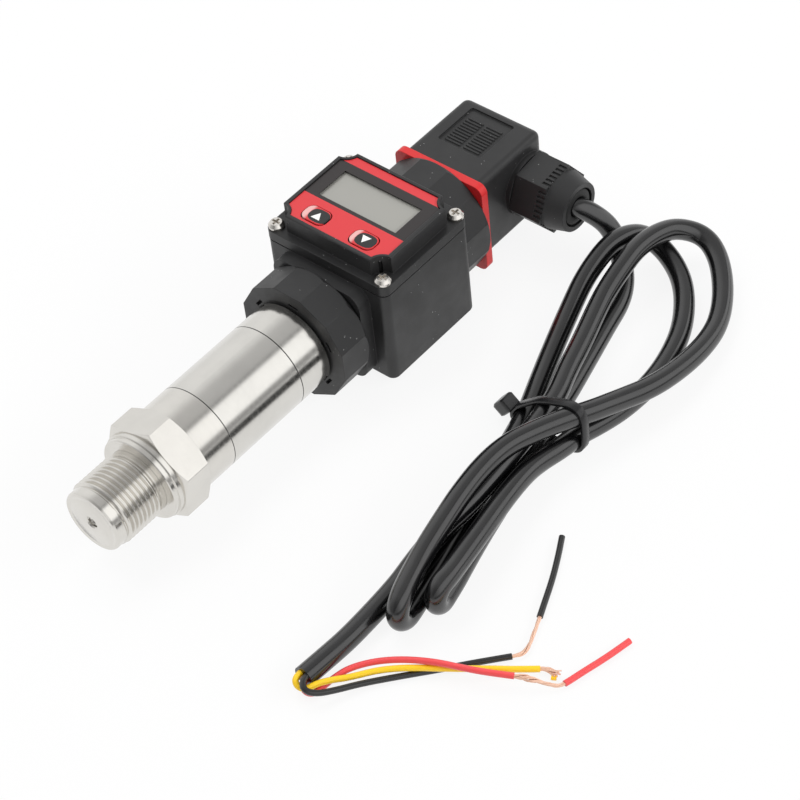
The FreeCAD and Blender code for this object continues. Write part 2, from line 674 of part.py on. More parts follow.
def make_coupling_nut(label, front, back, lip, bore, chamber, lip_hole, thread_end):
    """Twelve-sided union nut: threaded end, chamber for a flange, and inner lip."""
    body = new_body(label)
    sketch = new_sketch(body, "twelve_sides", "YZ_Plane", front)
    regular_polygon(sketch, 12, "nut_flats", "nut_turn")
    pad(body, sketch, "%s - (%s)" % (back, front))
    hollow = new_sketch(body, "hollow", "XZ_Plane")
    polygon(hollow, [("%s - 1" % front, "0"), ("%s - 1" % front, bore), (thread_end, bore),
                     (thread_end, chamber), (lip, chamber), (lip, lip_hole),
                     ("%s + 1" % back, lip_hole), ("%s + 1" % back, "0")])
    groove(body, hollow)
    corner_trim(body, "back_corners", front, back, "nut_flats / 2",
                "nut_flats / 2 / cos(15deg)", "nut_chamfer_angle + 30", ("back",))
    return body


FACE_SLOTS = 6


def make_front_nut():
    """Front coupling nut, screwed on the tube's neck and holding the spigot's flange.

    Its open face has a ring of short moulded slots round the tube's end.
    """
    body = make_coupling_nut(
        "front_coupling_nut", "nut_front", "nut_back", "nut_lip_front",
        "neck_diameter / 2 + nut_slip", "nut_chamber_radius",
        "shank_diameter / 2 + nut_slip", "neck_end")
    slot = new_sketch(body, "face_slot", "YZ_Plane", "nut_front")
    near = "tube_radius + face_slot_rim"
    turned_notch(slot, "face_slot_turn * 1deg", near, near + " + face_slot_height",
                 "face_slot_width")
    pocket(body, slot, "face_slot_depth", along_normal=True)
    repeat_round(body, slot, "N_Axis", FACE_SLOTS)
    return body


def make_rear_nut():
    """Rear coupling nut, screwed on the box's rear neck and holding the socket's base."""
    return make_coupling_nut(
        "rear_coupling_nut", "rear_nut_front", "rear_nut_back", "base_flange_back + nut_slip",
        "rear_neck_diameter / 2 + nut_slip", "rear_neck_diameter / 2 + 2 * nut_slip",
        "base_shank / 2 + nut_slip", "rear_neck_end")


def make_spigot():
    """Flanged nipple that ties the tube to the display box."""
    return turned("coupling_spigot", [
        ("flange_front", "shank_bore / 2"),
        ("flange_front", "flange_diameter / 2"),
        ("flange_back", "flange_diameter / 2"),
        ("flange_back", "shank_diameter / 2"),
        ("lock_back + 0.6", "shank_diameter / 2"),
        ("lock_back + 0.6", "shank_bore / 2")])


def make_lock_nut():
    """Thin nut inside the box, with two notches for a spanner."""
    body = ring("spigot_lock_nut", "box_inner_front", "lock_back",
                "shank_diameter / 2 + shank_slip", "lock_diameter / 2")
    sketch = new_sketch(body, "notches", "YZ_Plane", "lock_back")
    for side in ("", "-"):
        rectangle(sketch, "0", side + "(lock_diameter / 2)", "lock_notch_width",
                  "2 * lock_notch_depth")
    pocket(body, sketch, "lock_length / 2")
    return body


# ---------------------------------------------------------------- display box and lid

def corner_signs():
    """The four corners of the box, as signs along X and Y."""
    return [(sx, sy) for sx in ("", "-") for sy in ("", "-")]


def make_display_housing():
    """Moulded box with a square front boss, screw posts and a threaded rear neck."""
    body = new_body("display_housing")
    outline = new_sketch(body, "outline", "XY_Plane", "-box_below")
    rounded_rectangle(outline, "0", "0", "box_length", "box_width", "box_corner")
    pad(body, outline, "box_below + box_above")
    fillet(body, all_at("z", "-box_below"), "box_foot_round")
    boss = new_sketch(body, "boss", "YZ_Plane", "boss_front")
    rounded_rectangle(boss, "0", "0", "boss_square", "boss_square", "boss_corner")
    pad(body, boss, "boss_depth + box_wall")
    rear = new_sketch(body, "rear_boss", "YZ_Plane", "rear_boss_back")
    circle(rear, "0", "0", "rear_boss_diameter / 2")
    pad(body, rear, "rear_boss_depth + box_wall", reverse=True)
    neck = new_sketch(body, "rear_neck", "YZ_Plane", "rear_boss_back")
    circle(neck, "0", "0", "rear_neck_diameter / 2")
    pad(body, neck, "rear_neck_length")
    room = new_sketch(body, "room", "XY_Plane", "box_above")
    long_x, long_y = "(box_length / 2 - box_wall)", "(box_width / 2 - box_wall)"
    short_x, short_y = "(box_length / 2 - corner_post)", "(box_width / 2 - corner_post)"
    polygon(room, [
        ("-" + long_x, "-" + short_y), ("-" + short_x, "-" + short_y),
        ("-" + short_x, "-" + long_y), (short_x, "-" + long_y),
        (short_x, "-" + short_y), (long_x, "-" + short_y),
        (long_x, short_y), (short_x, short_y),
        (short_x, long_y), ("-" + short_x, long_y),
        ("-" + short_x, short_y), ("-" + long_x, short_y)])
    pocket(body, room, "box_above + box_below - box_wall")
    front_bore = new_sketch(body, "front_bore", "YZ_Plane", "boss_front")
    circle(front_bore, "0", "0", "shank_diameter / 2 + shank_slip")
    pocket(body, front_bore, "boss_depth + box_wall + 0.1", along_normal=True)
    rear_bore = new_sketch(body, "rear_bore", "YZ_Plane", "rear_neck_end")
    circle(rear_bore, "0", "0", "rear_bore / 2")
    pocket(body, rear_bore, "rear_neck_length + rear_boss_depth + box_wall + 0.1")
    holes = new_sketch(body, "screw_holes", "XY_Plane", "box_above")
    for sx, sy in corner_signs():
        circle(holes, sx + "screw_x", sy + "screw_y", "screw_shank / 2 + screw_slip / 3")
    pocket(body, holes, "screw_length")
    return body


def make_lid_seal():
    """Flat seal between the box and the lid."""
    body = new_body("lid_seal")
    sketch = new_sketch(body, "outline", "XY_Plane", "box_above")
    rounded_rectangle(sketch, "0", "0", "box_length - 2 * lid_seal_inset",
                      "box_width - 2 * lid_seal_inset", "box_corner - lid_seal_inset")
    rectangle(sketch, "0", "0", "lid_room_length", "lid_room_width")
    for sx, sy in corner_signs():
        circle(sketch, sx + "screw_x", sy + "screw_y", "screw_shank / 2 + screw_slip")
    pad(body, sketch, "lid_seal")
    return body


def oval(sketch, across, up, length, width):
    """A button outline: a long rectangle with strongly rounded corners."""
    rounded_rectangle(sketch, across, up, width, length, "(%s) * 0.38" % width)


def make_display_lid():
    """Stepped lid: flat tier for the screws, notched plateau, label recess and windows."""
    body = new_body("display_lid")
    tier = new_sketch(body, "tier", "XY_Plane", "lid_bottom")
    rounded_rectangle(tier, "0", "0", "box_length + 2 * lid_overhang",
                      "box_width + 2 * lid_overhang", "box_corner + lid_overhang")
    pad(body, tier, "lid_tier")
    plateau = new_sketch(body, "plateau", "XY_Plane", "lid_tier_top")
    rectangle(plateau, "0", "0", "plateau_length", "plateau_width")
    pad(body, plateau, "plateau_height")
    fillet(body, all_at("z", "lid_top"), "plateau_round")
    notches = new_sketch(body, "notches", "XY_Plane", "lid_top")
    for sx, sy in corner_signs():
        circle(notches, sx + "screw_x", sy + "screw_y", "plateau_notch")
    pocket(body, notches, "plateau_height")
    recess = new_sketch(body, "recess", "XY_Plane", "lid_top")
    label_outline(recess, "label_slip")
    pocket(body, recess, "label_recess")
    room = new_sketch(body, "room", "XY_Plane", "lid_bottom")
    rectangle(room, "0", "0", "lid_room_length", "lid_room_width")
    pocket(body, room, "lid_ceiling - lid_bottom", along_normal=True)
    windows = new_sketch(body, "windows", "XY_Plane", "label_floor")
    rectangle(windows, "lcd_x", "0", "lcd_length - 0.6", "lcd_width - 0.6")
    for side in ("", "-"):
        oval(windows, "button_x", side + "button_y", "button_length + 2 * button_slip",
             "button_width + 2 * button_slip")
    pocket(body, windows, "lid_roof")
    holes = new_sketch(body, "screw_holes", "XY_Plane", "lid_tier_top")
    for sx, sy in corner_signs():
        circle(holes, sx + "screw_x", sy + "screw_y", "screw_shank / 2 + screw_slip")
    pocket(body, holes, "lid_tier")
    posts = new_sketch(body, "posts", "XY_Plane", "lid_ceiling")
    for sx, sy in corner_signs():
        circle(posts, sx + "mount_post_x", sy + "mount_post_y", "mount_post / 2")
    pad(body, posts, "board_drop", reverse=True)
    return body


def label_outline(sketch, slip):
    """Rectangle with a concave round notch at each corner, for the label and its recess."""
    half_x = "(label_length / 2 + %s)" % slip
    half_y = "(label_width / 2 + %s)" % slip
    radius = "(label_notch - %s)" % slip
    run_x = "sqrt(%s ^ 2 - (screw_y - %s) ^ 2)" % (radius, half_y)
    run_y = "sqrt(%s ^ 2 - (screw_x - %s) ^ 2)" % (radius, half_x)
    first = sketch.GeometryCount
    points = []
    for sx, sy, swap in (("", "-", 0), ("", "", 1), ("-", "", 0), ("-", "-", 1)):
        side = (sx + half_x, sy + "(screw_y - %s)" % run_y)
        end = (sx + "(screw_x - %s)" % run_x, sy + half_y)
        points.append((side, end) if swap else (end, side))
    centres = [("screw_x", "-screw_y"), ("screw_x", "screw_y"),
               ("-screw_x", "screw_y"), ("-screw_x", "-screw_y")]
    for number in range(4):
        start = points[number][1]
        finish = points[(number + 1) % 4][0]
        sketch.addGeometry(Part.LineSegment(Vector(value(start[0]), value(start[1]), 0),
                                            Vector(value(finish[0]), value(finish[1]), 0)), False)
    for number, (cx, cy) in enumerate(centres):
        enter, leave = points[number]
        middle = Vector(value(cx), value(cy), 0)
        towards = Vector(-middle.x, -middle.y, 0)
        towards.normalize()
        arc = Part.Arc(Vector(value(enter[0]), value(enter[1]), 0),
                       middle + towards * value(radius),
                       Vector(value(leave[0]), value(leave[1]), 0))
        sketch.addGeometry(arc, False)
    for number in range(4):
        # an arc drawn clockwise is stored counter-clockwise, so its ends swap
        arc = first + 4 + number
        line_before = first + (number + 3) % 4
        line_after = first + number
        sketch.addConstraint(Sketcher.Constraint("Coincident", line_before, 2, arc, 2))
        sketch.addConstraint(Sketcher.Constraint("Coincident", arc, 1, line_after, 1))
        for index, point in ((line_before, 2), (line_after, 1)):
            spot = points[number][0] if index == line_before else points[number][1]
            datum(sketch, "DistanceX", index, point, spot[0])
            datum(sketch, "DistanceY", index, point, spot[1])
        size = sketch.addConstraint(Sketcher.Constraint("Radius", arc, value(radius)))
        bind(sketch, "Constraints[%d]" % size, radius)


def make_face_label():
    """Printed sheet in the lid's recess, open over the display and the buttons."""
    body = new_body("face_label")
    sketch = new_sketch(body, "outline", "XY_Plane", "label_floor")
    label_outline(sketch, "0")
    pad(body, sketch, "label_thickness")
    windows = new_sketch(body, "windows", "XY_Plane", "label_floor")
    rectangle(windows, "lcd_x", "0", "lcd_view_length", "lcd_view_width")
    for side in ("", "-"):
        oval(windows, "button_x", side + "button_y", "button_length + 2 * button_slip",
             "button_width + 2 * button_slip")
    pocket(body, windows, "label_thickness", along_normal=True)
    return body


def make_lcd():
    """Display module under the lid's window, and the clear pane in the window."""
    module = block("lcd_block", "lcd_length", "lcd_width", "lcd_thickness",
                   x="lcd_x - lcd_length / 2", y="-lcd_width / 2",
                   z="lid_ceiling - lcd_thickness")
    pane = block("pane_block", "lcd_length - 0.6 - 2 * pane_slip",
                 "lcd_width - 0.6 - 2 * pane_slip", "pane_thickness",
                 x="lcd_x - lcd_length / 2 + 0.3 + pane_slip",
                 y="-lcd_width / 2 + 0.3 + pane_slip", z="lid_ceiling")
    return [group("lcd_module", [module]), group("lcd_window", [pane])]


def make_display_board():
    """Circuit board under the lid, with a support under the display module."""
    length = "lid_room_length - 2 * board_slip"
    width = "lid_room_width - 2 * board_slip"
    plate = block("board_plate", length, width, "board_thickness", x="-(%s) / 2" % length,
                  y="-(%s) / 2" % width, z="board_top - board_thickness")
    rise = block("board_rise", "lcd_length - 3", "lcd_width - 3",
                 "board_drop - lcd_thickness", x="lcd_x - (lcd_length - 3) / 2",
                 y="-(lcd_width - 3) / 2", z="board_top")
    chip = block("board_chip", "chip_length", "chip_width", "chip_height",
                 x="-chip_length / 2", y="-chip_width / 2",
                 z="board_top - board_thickness - chip_height")
    return seated(fuse("board_fuse", plate, rise, chip), "display_board")


def make_switches():
    """Two small switches on the board, each with a well for its button's stem."""
    items = []
    for number, side in enumerate(("", "-")):
        case = block("switch_case_%d" % number, "switch_size", "switch_size", "switch_height",
                     x="button_x - switch_size / 2", y="%sbutton_y - switch_size / 2" % side,
                     z="board_top")
        well = cylinder("switch_well_%d" % number, "switch_well / 2", "well_depth + 1",
                        x="button_x", y=side + "button_y", z="switch_top - well_depth")
        items.append(cut("switch_%d" % number, case, well))
    return group("button_switches", items)


def make_button(label, side):
    """Push button: oval cap through the lid, a foot under the lid, and a stem."""
    body = new_body(label)
    up = side + "button_y"
    foot = new_sketch(body, "foot", "XY_Plane", "foot_bottom")
    rectangle(foot, "button_x", up, "button_foot", "button_foot_length")
    pad(body, foot, "button_foot_height")
    cap = new_sketch(body, "cap", "XY_Plane", "foot_top")
    oval(cap, "button_x", up, "button_length", "button_width")
    pad(body, cap, "label_floor + label_thickness + button_proud - foot_top")
    fillet(body, all_at("z", "label_floor + label_thickness + button_proud"), "0.25")
    stem = new_sketch(body, "stem", "XY_Plane", "foot_bottom")
    circle(stem, "button_x", up, "button_stem / 2")
    pad(body, stem, "foot_bottom - (switch_top - well_depth + button_travel + 0.1)",
        reverse=True)
    return body


def make_lid_screws():
    """Four pan-head screws with a cross recess, one at each corner of the lid."""
    items = []
    for number, (sx, sy) in enumerate(corner_signs()):
        x, y = sx + "screw_x", sy + "screw_y"
        tag = "_%d" % number
        head = primitive("Part::Cone", "screw_head" + tag,
                         {"Radius1": "screw_head / 2", "Radius2": "screw_head * 0.36",
                          "Height": "screw_head_height - 0.8"},
                         None, x=x, y=y, z="lid_tier_top + 0.8")
        rim = cylinder("screw_rim" + tag, "screw_head / 2", "0.8", x=x, y=y, z="lid_tier_top")
        shank = cylinder("screw_shank" + tag, "screw_shank / 2", "screw_length", x=x, y=y,
                         z="lid_tier_top - screw_length")
        whole = fuse("screw_whole" + tag, head, rim, shank)
        top = "lid_tier_top + screw_head_height - cross_depth"
        long_arm = block("cross_long" + tag, "cross_reach", "cross_width", "cross_depth + 1",
                         x="%s - cross_reach / 2" % x, y="%s - cross_width / 2" % y, z=top)
        wide_arm = block("cross_wide" + tag, "cross_width", "cross_reach", "cross_depth + 1",
                         x="%s - cross_width / 2" % x, y="%s - cross_reach / 2" % y, z=top)
        cross = fuse("cross" + tag, long_arm, wide_arm)
        items.append(cut("lid_screw" + tag, whole, cross))
    return group("lid_screws", items)


# ---------------------------------------------------------------- socket

BLADES = (("blade_offset", 0), ("-blade_offset", 0), ("blade_offset", 1), ("-blade_offset", 1))


def blade_box(sketch, offset, turned_over, slip):
    """The section of one contact blade: left and right ones stand, the others lie."""
    thick, wide = "blade_thickness + 2 * %s" % slip, "blade_width + 2 * %s" % slip
    if turned_over:
        rectangle(sketch, "0", offset, wide, thick)
    else:
        rectangle(sketch, offset, "0", thick, wide)


def make_connector_base():
    """Contact carrier: flange under the nut, shank, and square block through the gasket."""
    body = turned("connector_base", [
        ("base_flange_front", "0"),
        ("base_flange_front", "base_flange_radius"),
        ("base_flange_back", "base_flange_radius"),
        ("base_flange_back", "base_shank / 2"),
        ("gasket_front", "base_shank / 2"),
        ("gasket_front", "0")])
    square = new_sketch(body, "block", "YZ_Plane", "gasket_front")
    half, short = "(base_block / 2)", "(base_block / 2 - base_block_chamfer)"
    polygon(square, [("-" + half, "-" + short), ("-" + short, "-" + half),
                     (short, "-" + half), (half, "-" + short), (half, short),
                     (short, half), ("-" + short, half), ("-" + half, short)])
    pad(body, square, "gasket_thickness")
    slots = new_sketch(body, "blade_slots", "YZ_Plane", "plug_front")
    for offset, over in BLADES:
        blade_box(slots, offset, over, "0")
    pocket(body, slots, "plug_front - base_flange_front")
    bore = new_sketch(body, "screw_bore", "YZ_Plane", "plug_front")
    circle(bore, "0", "0", "plug_screw / 2 + cable_slip")
    pocket(body, bore, "plug_front - base_flange_front")
    return body


def make_blades():
    """Four flat contact blades through the carrier, three lines and an earth."""
    items = []
    start = "base_flange_front - blade_tail"
    reach = "plug_front + blade_reach - (%s)" % start
    for number, (offset, over) in enumerate(BLADES):
        wide, thick = ("blade_width", "blade_thickness") if over else \
                      ("blade_thickness", "blade_width")
        y, z = ("0", offset) if over else (offset, "0")
        items.append(block("blade_%d" % number, reach, wide, thick, x=start,
                           y="%s - (%s) / 2" % (y, wide), z="%s - (%s) / 2" % (z, thick)))
    return group("contact_blades", items)


def make_gasket():
    """Square soft gasket between the rear nut and the socket."""
    body = new_body("connector_gasket")
    sketch = new_sketch(body, "outline", "YZ_Plane", "gasket_front")
    rounded_rectangle(sketch, "0", "0", "gasket_square", "gasket_square", "gasket_corner")
    rectangle(sketch, "0", "0", "base_block", "base_block")
    pad(body, sketch, "gasket_thickness")
    return body


def make_connector_housing():
    """Socket shell: open front, ribbed and recessed top panel, screw well and gland neck."""
    body = new_body("connector_housing")
    outline = new_sketch(body, "outline", "YZ_Plane", "plug_front")
    rounded_rectangle(outline, "plug_shift", "0", "plug_width", "plug_height", "plug_corner")
    pad(body, outline, "plug_length")
    fillet(body, all_at("x", "plug_end"), "plug_back_round")
    boss = new_sketch(body, "gland_boss", "XZ_Plane", "-(gland_boss_side)")
    circle(boss, "gland_x", "0", "gland_boss / 2")
    pad(body, boss, "gland_boss_length + plug_wall / 2", reverse=True)
    neck = new_sketch(body, "gland_neck", "XZ_Plane", "-(gland_neck_side)")
    circle(neck, "gland_x", "0", "gland_neck / 2")
    pad(body, neck, "gland_neck_length + gland_boss_length", reverse=True)
    room = new_sketch(body, "room", "YZ_Plane", "plug_front")
    rectangle(room, "plug_shift", "0", "plug_width - 2 * plug_wall",
              "plug_height - 2 * plug_wall")
    pocket(body, room, "plug_length - plug_back", along_normal=True)
    way = new_sketch(body, "cable_way", "XZ_Plane", "-(gland_neck_side)")
    circle(way, "gland_x", "0", "gland_bore / 2")
    pocket(body, way, "gland_neck_length + gland_boss_length + plug_wall + 0.1")
    panel = new_sketch(body, "panel", "XY_Plane", "plug_height / 2")
    rounded_rectangle(panel, "plug_front + panel_start + panel_length / 2",
                      "plug_shift + panel_shift", "panel_length", "panel_width", "panel_corner")
    pocket(body, panel, "panel_depth")
    ribs = new_sketch(body, "ribs", "XY_Plane", "plug_height / 2 - panel_depth")
    reach = "(panel_width / 2 - rib_edge - rib_split / 2)"
    for side in "+-":
        rectangle(ribs, "plug_front + panel_start + rib_start + rib_width / 2",
                  "plug_shift + panel_shift %s (rib_split + %s) / 2" % (side, reach),
                  "rib_width", reach)
    pad(body, ribs, "rib_height")
    repeat_along(body, ribs, "rib_pitch", "rib_count")
    well = new_sketch(body, "screw_well", "YZ_Plane", "plug_end")
    circle(well, "0", "0", "plug_well / 2")
    pocket(body, well, "plug_well_depth")
    hole = new_sketch(body, "screw_hole", "YZ_Plane", "plug_end")
    circle(hole, "0", "0", "plug_screw / 2 + 0.3")
    pocket(body, hole, "plug_back + 0.1")
    return body


def make_connector_insert():
    """Terminal block inside the socket, with a slot for each blade."""
    body = new_body("connector_insert")
    width = "plug_width - 2 * plug_wall - 2 * insert_slip"
    height = "plug_height - 2 * plug_wall - 2 * insert_slip"
    outline = new_sketch(body, "outline", "YZ_Plane", "plug_front")
    rectangle(outline, "plug_shift", "0", width, height)
    circle(outline, "0", "0", "plug_screw / 2 + 0.3")
    for offset, over in BLADES:
        blade_box(outline, offset, over, "slot_slip")
    pad(body, outline, "insert_length")
    seats = new_sketch(body, "terminal_seats", "YZ_Plane", "insert_back")
    for y, z in TERMINALS:
        circle(seats, y, z, "terminal_screw / 2 + cable_slip")
    pocket(body, seats, "terminal_depth")
    return body


TERMINALS = (("blade_offset", "blade_offset"), ("-blade_offset", "blade_offset"),
             ("blade_offset", "-blade_offset"))


def make_terminal_screws():
    """Three slotted terminal screws in the back of the insert."""
    items = []
    for number, (y, z) in enumerate(TERMINALS):
        tag = "_%d" % number
        shank = cylinder("terminal_shank" + tag, "terminal_screw / 2", "terminal_depth", ALONG_X,
                         x="insert_back - terminal_depth", y=y, z=z)
        head = cylinder("terminal_head" + tag, "terminal_head / 2", "terminal_head_height",
                        ALONG_X, x="insert_back", y=y, z=z)
        slot = block("terminal_slot" + tag, "terminal_head_height", "terminal_head",
                     "driver_slot / 2", x="insert_back + terminal_head_height / 2",
                     y="%s - terminal_head / 2" % y, z="%s - driver_slot / 4" % z)
        items.append(cut("terminal" + tag, fuse("terminal_whole" + tag, shank, head), slot))
    return group("terminal_screws", items)


def make_connector_screw():
    """Long screw through the socket into its base, and the sealing washer under its head."""
    start = "base_flange_front + 0.5"
    shank = cylinder("long_shank", "plug_screw / 2", "screw_head_front - (%s)" % start, ALONG_X,
                     x=start)
    head = cylinder("long_head", "plug_screw_head / 2", "plug_screw_head_height", ALONG_X,
                    x="screw_head_front")
    slot = block("long_slot", "1", "plug_screw_head", "driver_slot",
                 x="screw_head_back - 0.8", y="-plug_screw_head / 2", z="-driver_slot / 2")
    screw = seated(cut("long_screw", fuse("long_whole", shank, head), slot), "connector_screw")
    washer = ring("screw_washer", "screw_seat", "screw_head_front",
                  "plug_screw / 2 + cable_slip", "plug_screw_head / 2")
    return [screw, washer]


# ---------------------------------------------------------------- gland

def turned_on_gland(label, profile):
    """A piece turned about the gland's axis, from corners of (radius, place along Y)."""
    body = new_body(label)
    sketch = new_sketch(body, "profile", "XY_Plane")
    polygon(sketch, [("gland_x + (%s)" % radius, along) for radius, along in profile])
    middle, tip = value("gland_x"), value("gland_tip")
    axis = sketch.addGeometry(Part.LineSegment(Vector(middle, tip, 0), Vector(middle, 0, 0)), True)
    sketch.addConstraint(Sketcher.Constraint("Vertical", axis))
    datum(sketch, "DistanceX", axis, 1, "gland_x")
    datum(sketch, "DistanceY", axis, 1, "gland_tip")
    datum(sketch, "DistanceY", axis, 2, "0")
    revolve(body, sketch, "Axis0")
    return body


GLAND_SIDES = 6
GRIPS_PER_SIDE = 6


def make_gland_nut():
    """Hexagon gland nut with a coned mouth and rows of grip grooves by its outer end."""
    inner = "gland_neck / 2 + nut_slip"
    body = turned_on_gland("gland_nut", [
        (inner, "gland_nut_start"),
        ("gland_flats / 2 - 0.2", "gland_nut_start"),
        ("gland_flats / 2 - 0.2", "gland_hex_end"),
        ("gland_cone_tip / 2", "gland_tip"),
        ("gland_mouth / 2", "gland_tip"),
        ("gland_mouth / 2", "gland_shoulder"),
        (inner, "gland_shoulder")])
    flats = new_sketch(body, "hexagon", "XZ_Plane", "-(gland_hex_end)")
    regular_polygon(flats, GLAND_SIDES, "gland_flats", "gland_turn", "gland_x", "0")
    circle(flats, "gland_x", "0", inner)
    pad(body, flats, "gland_nut_length", reverse=True)
    grips = new_sketch(body, "grips", "XZ_Plane", "-(gland_hex_end)")
    for number in range(GRIPS_PER_SIDE):
        turned_notch(grips, "gland_turn * 1deg + %gdeg" % (180 / GLAND_SIDES),
                     "gland_flats / 2 - grip_depth", "gland_flats / 2 + 1", "grip_width",
                     along="%g * grip_pitch" % (number - (GRIPS_PER_SIDE - 1) / 2),
                     across="gland_x")
    pocket(body, grips, "grip_length")
    repeat_round(body, body.Group[0], "Axis0", GLAND_SIDES)
    return body


def make_gland_parts():
    """Rubber grommet and slip washer inside the gland."""
    bore = "cable_diameter / 2 + cable_slip"
    outer = "gland_bore / 2 - seal_slip"
    start = "gland_boss_side + 0.4"
    nose_end = "gland_neck_side - seal_nose_length"
    grommet = turned_on_gland("gland_grommet", [
        (bore, start), (outer, start), (outer, "gland_neck_side"),
        ("seal_nose / 2", "gland_neck_side"), ("seal_nose / 2", nose_end), (bore, nose_end)])
    hole = "seal_nose / 2 + cable_slip"
    rim = "gland_neck / 2 - seal_slip"
    washer_end = "gland_neck_side - gland_washer"
    washer = turned_on_gland("gland_slip_washer", [
        (hole, "gland_neck_side"), (rim, "gland_neck_side"), (rim, washer_end),
        (hole, washer_end)])
    return [grommet, washer]


# ---------------------------------------------------------------- cable, tie and wires
# Routes are points chosen along each piece, measured in the plan from the middle of
# the gland's mouth and in height from the surface that the cable lies on.

LEAD_ROUTE = [(0, 15.0, None), (0, 1.0, None), (2.4, -4.6, 14.6), (4.3, -8.6, 10.4),
              (3.6, -12.6, 7.4)]
TAIL_ROUTE = [(-125.0, -40.5, 3.3), (-133.0, -38.9, 3.1), (-141.0, -38.9, 3.05), (-150.0, -38.3, 3.05),
              (-157.0, -37.4, 3.1), (-163.0, -37.4, 3.3)]
HANK_OUTER = [(5.0, -11.5), (-8.0, -9.0), (-22.2, -11.0), (-41.4, -17.2), (-59.5, -24.3),
              (-84.5, -31.0), (-108.0, -35.0), (-128.0, -35.5), (-137.0, -39.5),
              (-140.5, -45.5), (-137.0, -50.5), (-130.0, -54.3), (-116.0, -53.5),
              (-93.0, -49.0), (-74.0, -46.8), (-59.6, -48.5), (-44.0, -51.8),
              (-23.7, -56.4), (-12.4, -55.5), (-2.7, -52.7), (7.3, -47.2), (15.7, -39.5),
              (21.3, -29.9), (18.6, -21.3), (11.8, -15.2)]
HANK_INNER = [(-45.0, -40.5), (-33.0, -33.0), (-13.0, -26.8), (-3.0, -24.8), (3.8, -26.2),
              (0.0, -31.5), (-6.0, -36.5), (-14.0, -40.5), (-23.5, -43.6), (-33.0, -44.9),
              (-42.0, -43.6)]
WIRE_ROUTES = {
    "red": [(-161.8, -37.9, 2.8), (-164.1, -37.8, 2.42), (-165.2, -39.5, 1.39),
            (-164.2, -41.5, 0.9), (-160.8, -41.9, 0.9), (-157.3, -42.4, 1.07),
            (-153.1, -43.9, 1.8), (-148.1, -48.3, 2.7), (-144.1, -54.2, 3.76),
            (-140.5, -61.7, 4.62), (-137.6, -69.4, 4.6), (-135.1, -74.7, 4.4),
            (-132.2, -79.9, 4.1)],
    "yellow": [(-161.8, -36.6, 4.4), (-164.8, -36.4, 4.6), (-166.2, -38.0, 3.7),
               (-165.5, -40.2, 3.17), (-162.0, -41.3, 2.94), (-158.9, -43.3, 2.57),
               (-155.7, -46.1, 2.3), (-149.3, -50.8, 2.4), (-144.2, -57.2, 2.78),
               (-138.9, -64.9, 2.62), (-132.9, -72.8, 2.3), (-129.1, -77.7, 1.8),
               (-125.1, -82.3, 1.3)],
    "black": [(-161.8, -38.6, 4.7), (-164.8, -38.9, 5.35), (-166.8, -41.1, 4.9),
              (-165.3, -43.6, 3.88), (-160.8, -45.9, 2.3), (-154.9, -49.2, 1.4),
              (-146.2, -56.2, 0.9), (-139.6, -62.1, 0.9), (-132.8, -67.8, 0.91),
              (-125.9, -74.1, 1.0)]}
# Each conductor's bare strands leave the end of its wire; the red and the black ones
# then run on inside the length of insulation that has slipped along them.
BARE_ROUTES = {
    "red": [(-132.2, -79.9, 4.1), (-130.75, -82.5, 3.95), (-128.4, -86.4, 2.1),
            (-126.6, -89.3, 0.95), (-123.2, -90.3, 0.9), (-119.6, -91.2, 0.9)],
    "yellow": [(-125.1, -82.3, 1.3), (-123.79, -83.81, 1.16), (-123.9, -86.8, 0.9)],
    "black": [(-125.9, -74.1, 1.0), (-124.13, -75.72, 1.02), (-121.3, -75.7, 0.95),
              (-117.8, -74.3, 0.9), (-113.6, -72.7, 0.9), (-108.0, -70.3, 0.9)]}
SLEEVE_ROUTES = {
    "red": [(-124.9, -89.8, 0.9), (-123.2, -90.3, 0.9), (-119.6, -91.2, 0.9),
            (-112.0, -93.3, 0.9), (-104.7, -94.8, 0.9)],
    "black": [(-111.9, -71.97, 0.9), (-108.0, -70.3, 0.9), (-100.4, -67.1, 0.9),
              (-93.4, -63.6, 0.9), (-87.6, -60.4, 0.9)]}
TIE_X, TIE_LOW_Y, TIE_HIGH_Y = -60.0, -48.9, -24.3


def route_points(route):
    """The route's points, where a missing height is the height of the tube's axis."""
    axis = value("axis_height")
    return [Vector(x, y, axis if z is None else z) for x, y, z in route]


def smooth_path(points, label):
    """Straight runs joined by tangent arcs, each as large as its two runs allow."""
    edges = []
    radii = []
    start = points[0]
    for number in range(1, len(points) - 1):
        corner = points[number]
        before = corner - points[number - 1]
        after = points[number + 1] - corner
        turn = before.getAngle(after)
        shorter = min(before.Length, after.Length)
        reach = 0.45 * shorter
        radii.append(reach / math.tan(turn / 2))
        back = Vector(before).normalize()
        ahead = Vector(after).normalize()
        enter = corner - back * reach
        leave = corner + ahead * reach
        inward = (ahead - back).normalize()
        middle = corner + inward * (radii[-1] / math.cos(turn / 2) - radii[-1])
        edges.append(Part.LineSegment(start, enter).toShape())
        edges.append(Part.Arc(enter, middle, leave).toShape())
        start = leave
    edges.append(Part.LineSegment(start, points[-1]).toShape())
    print(label, "radii", [round(radius, 1) for radius in radii])
    return Part.Wire(edges)


def tube_along(route, radius, label):
    """A round tube along a route, its volume compared with section times length."""
    points = route_points(route)
    path = smooth_path(points, label)
    heading = points[1] - points[0]
    section = Part.Wire([Part.Circle(points[0], heading, radius).toShape()])
    solid = path.makePipeShell([section], True, False)
    expected = math.pi * radius ** 2 * path.Length
    print(label, "length", round(path.Length, 1), "volume share",
          round(solid.Volume / expected, 4))
    if not 0.98 < solid.Volume / expected < 1.02:
        raise RuntimeError("tube has the wrong volume: " + label)
    return solid


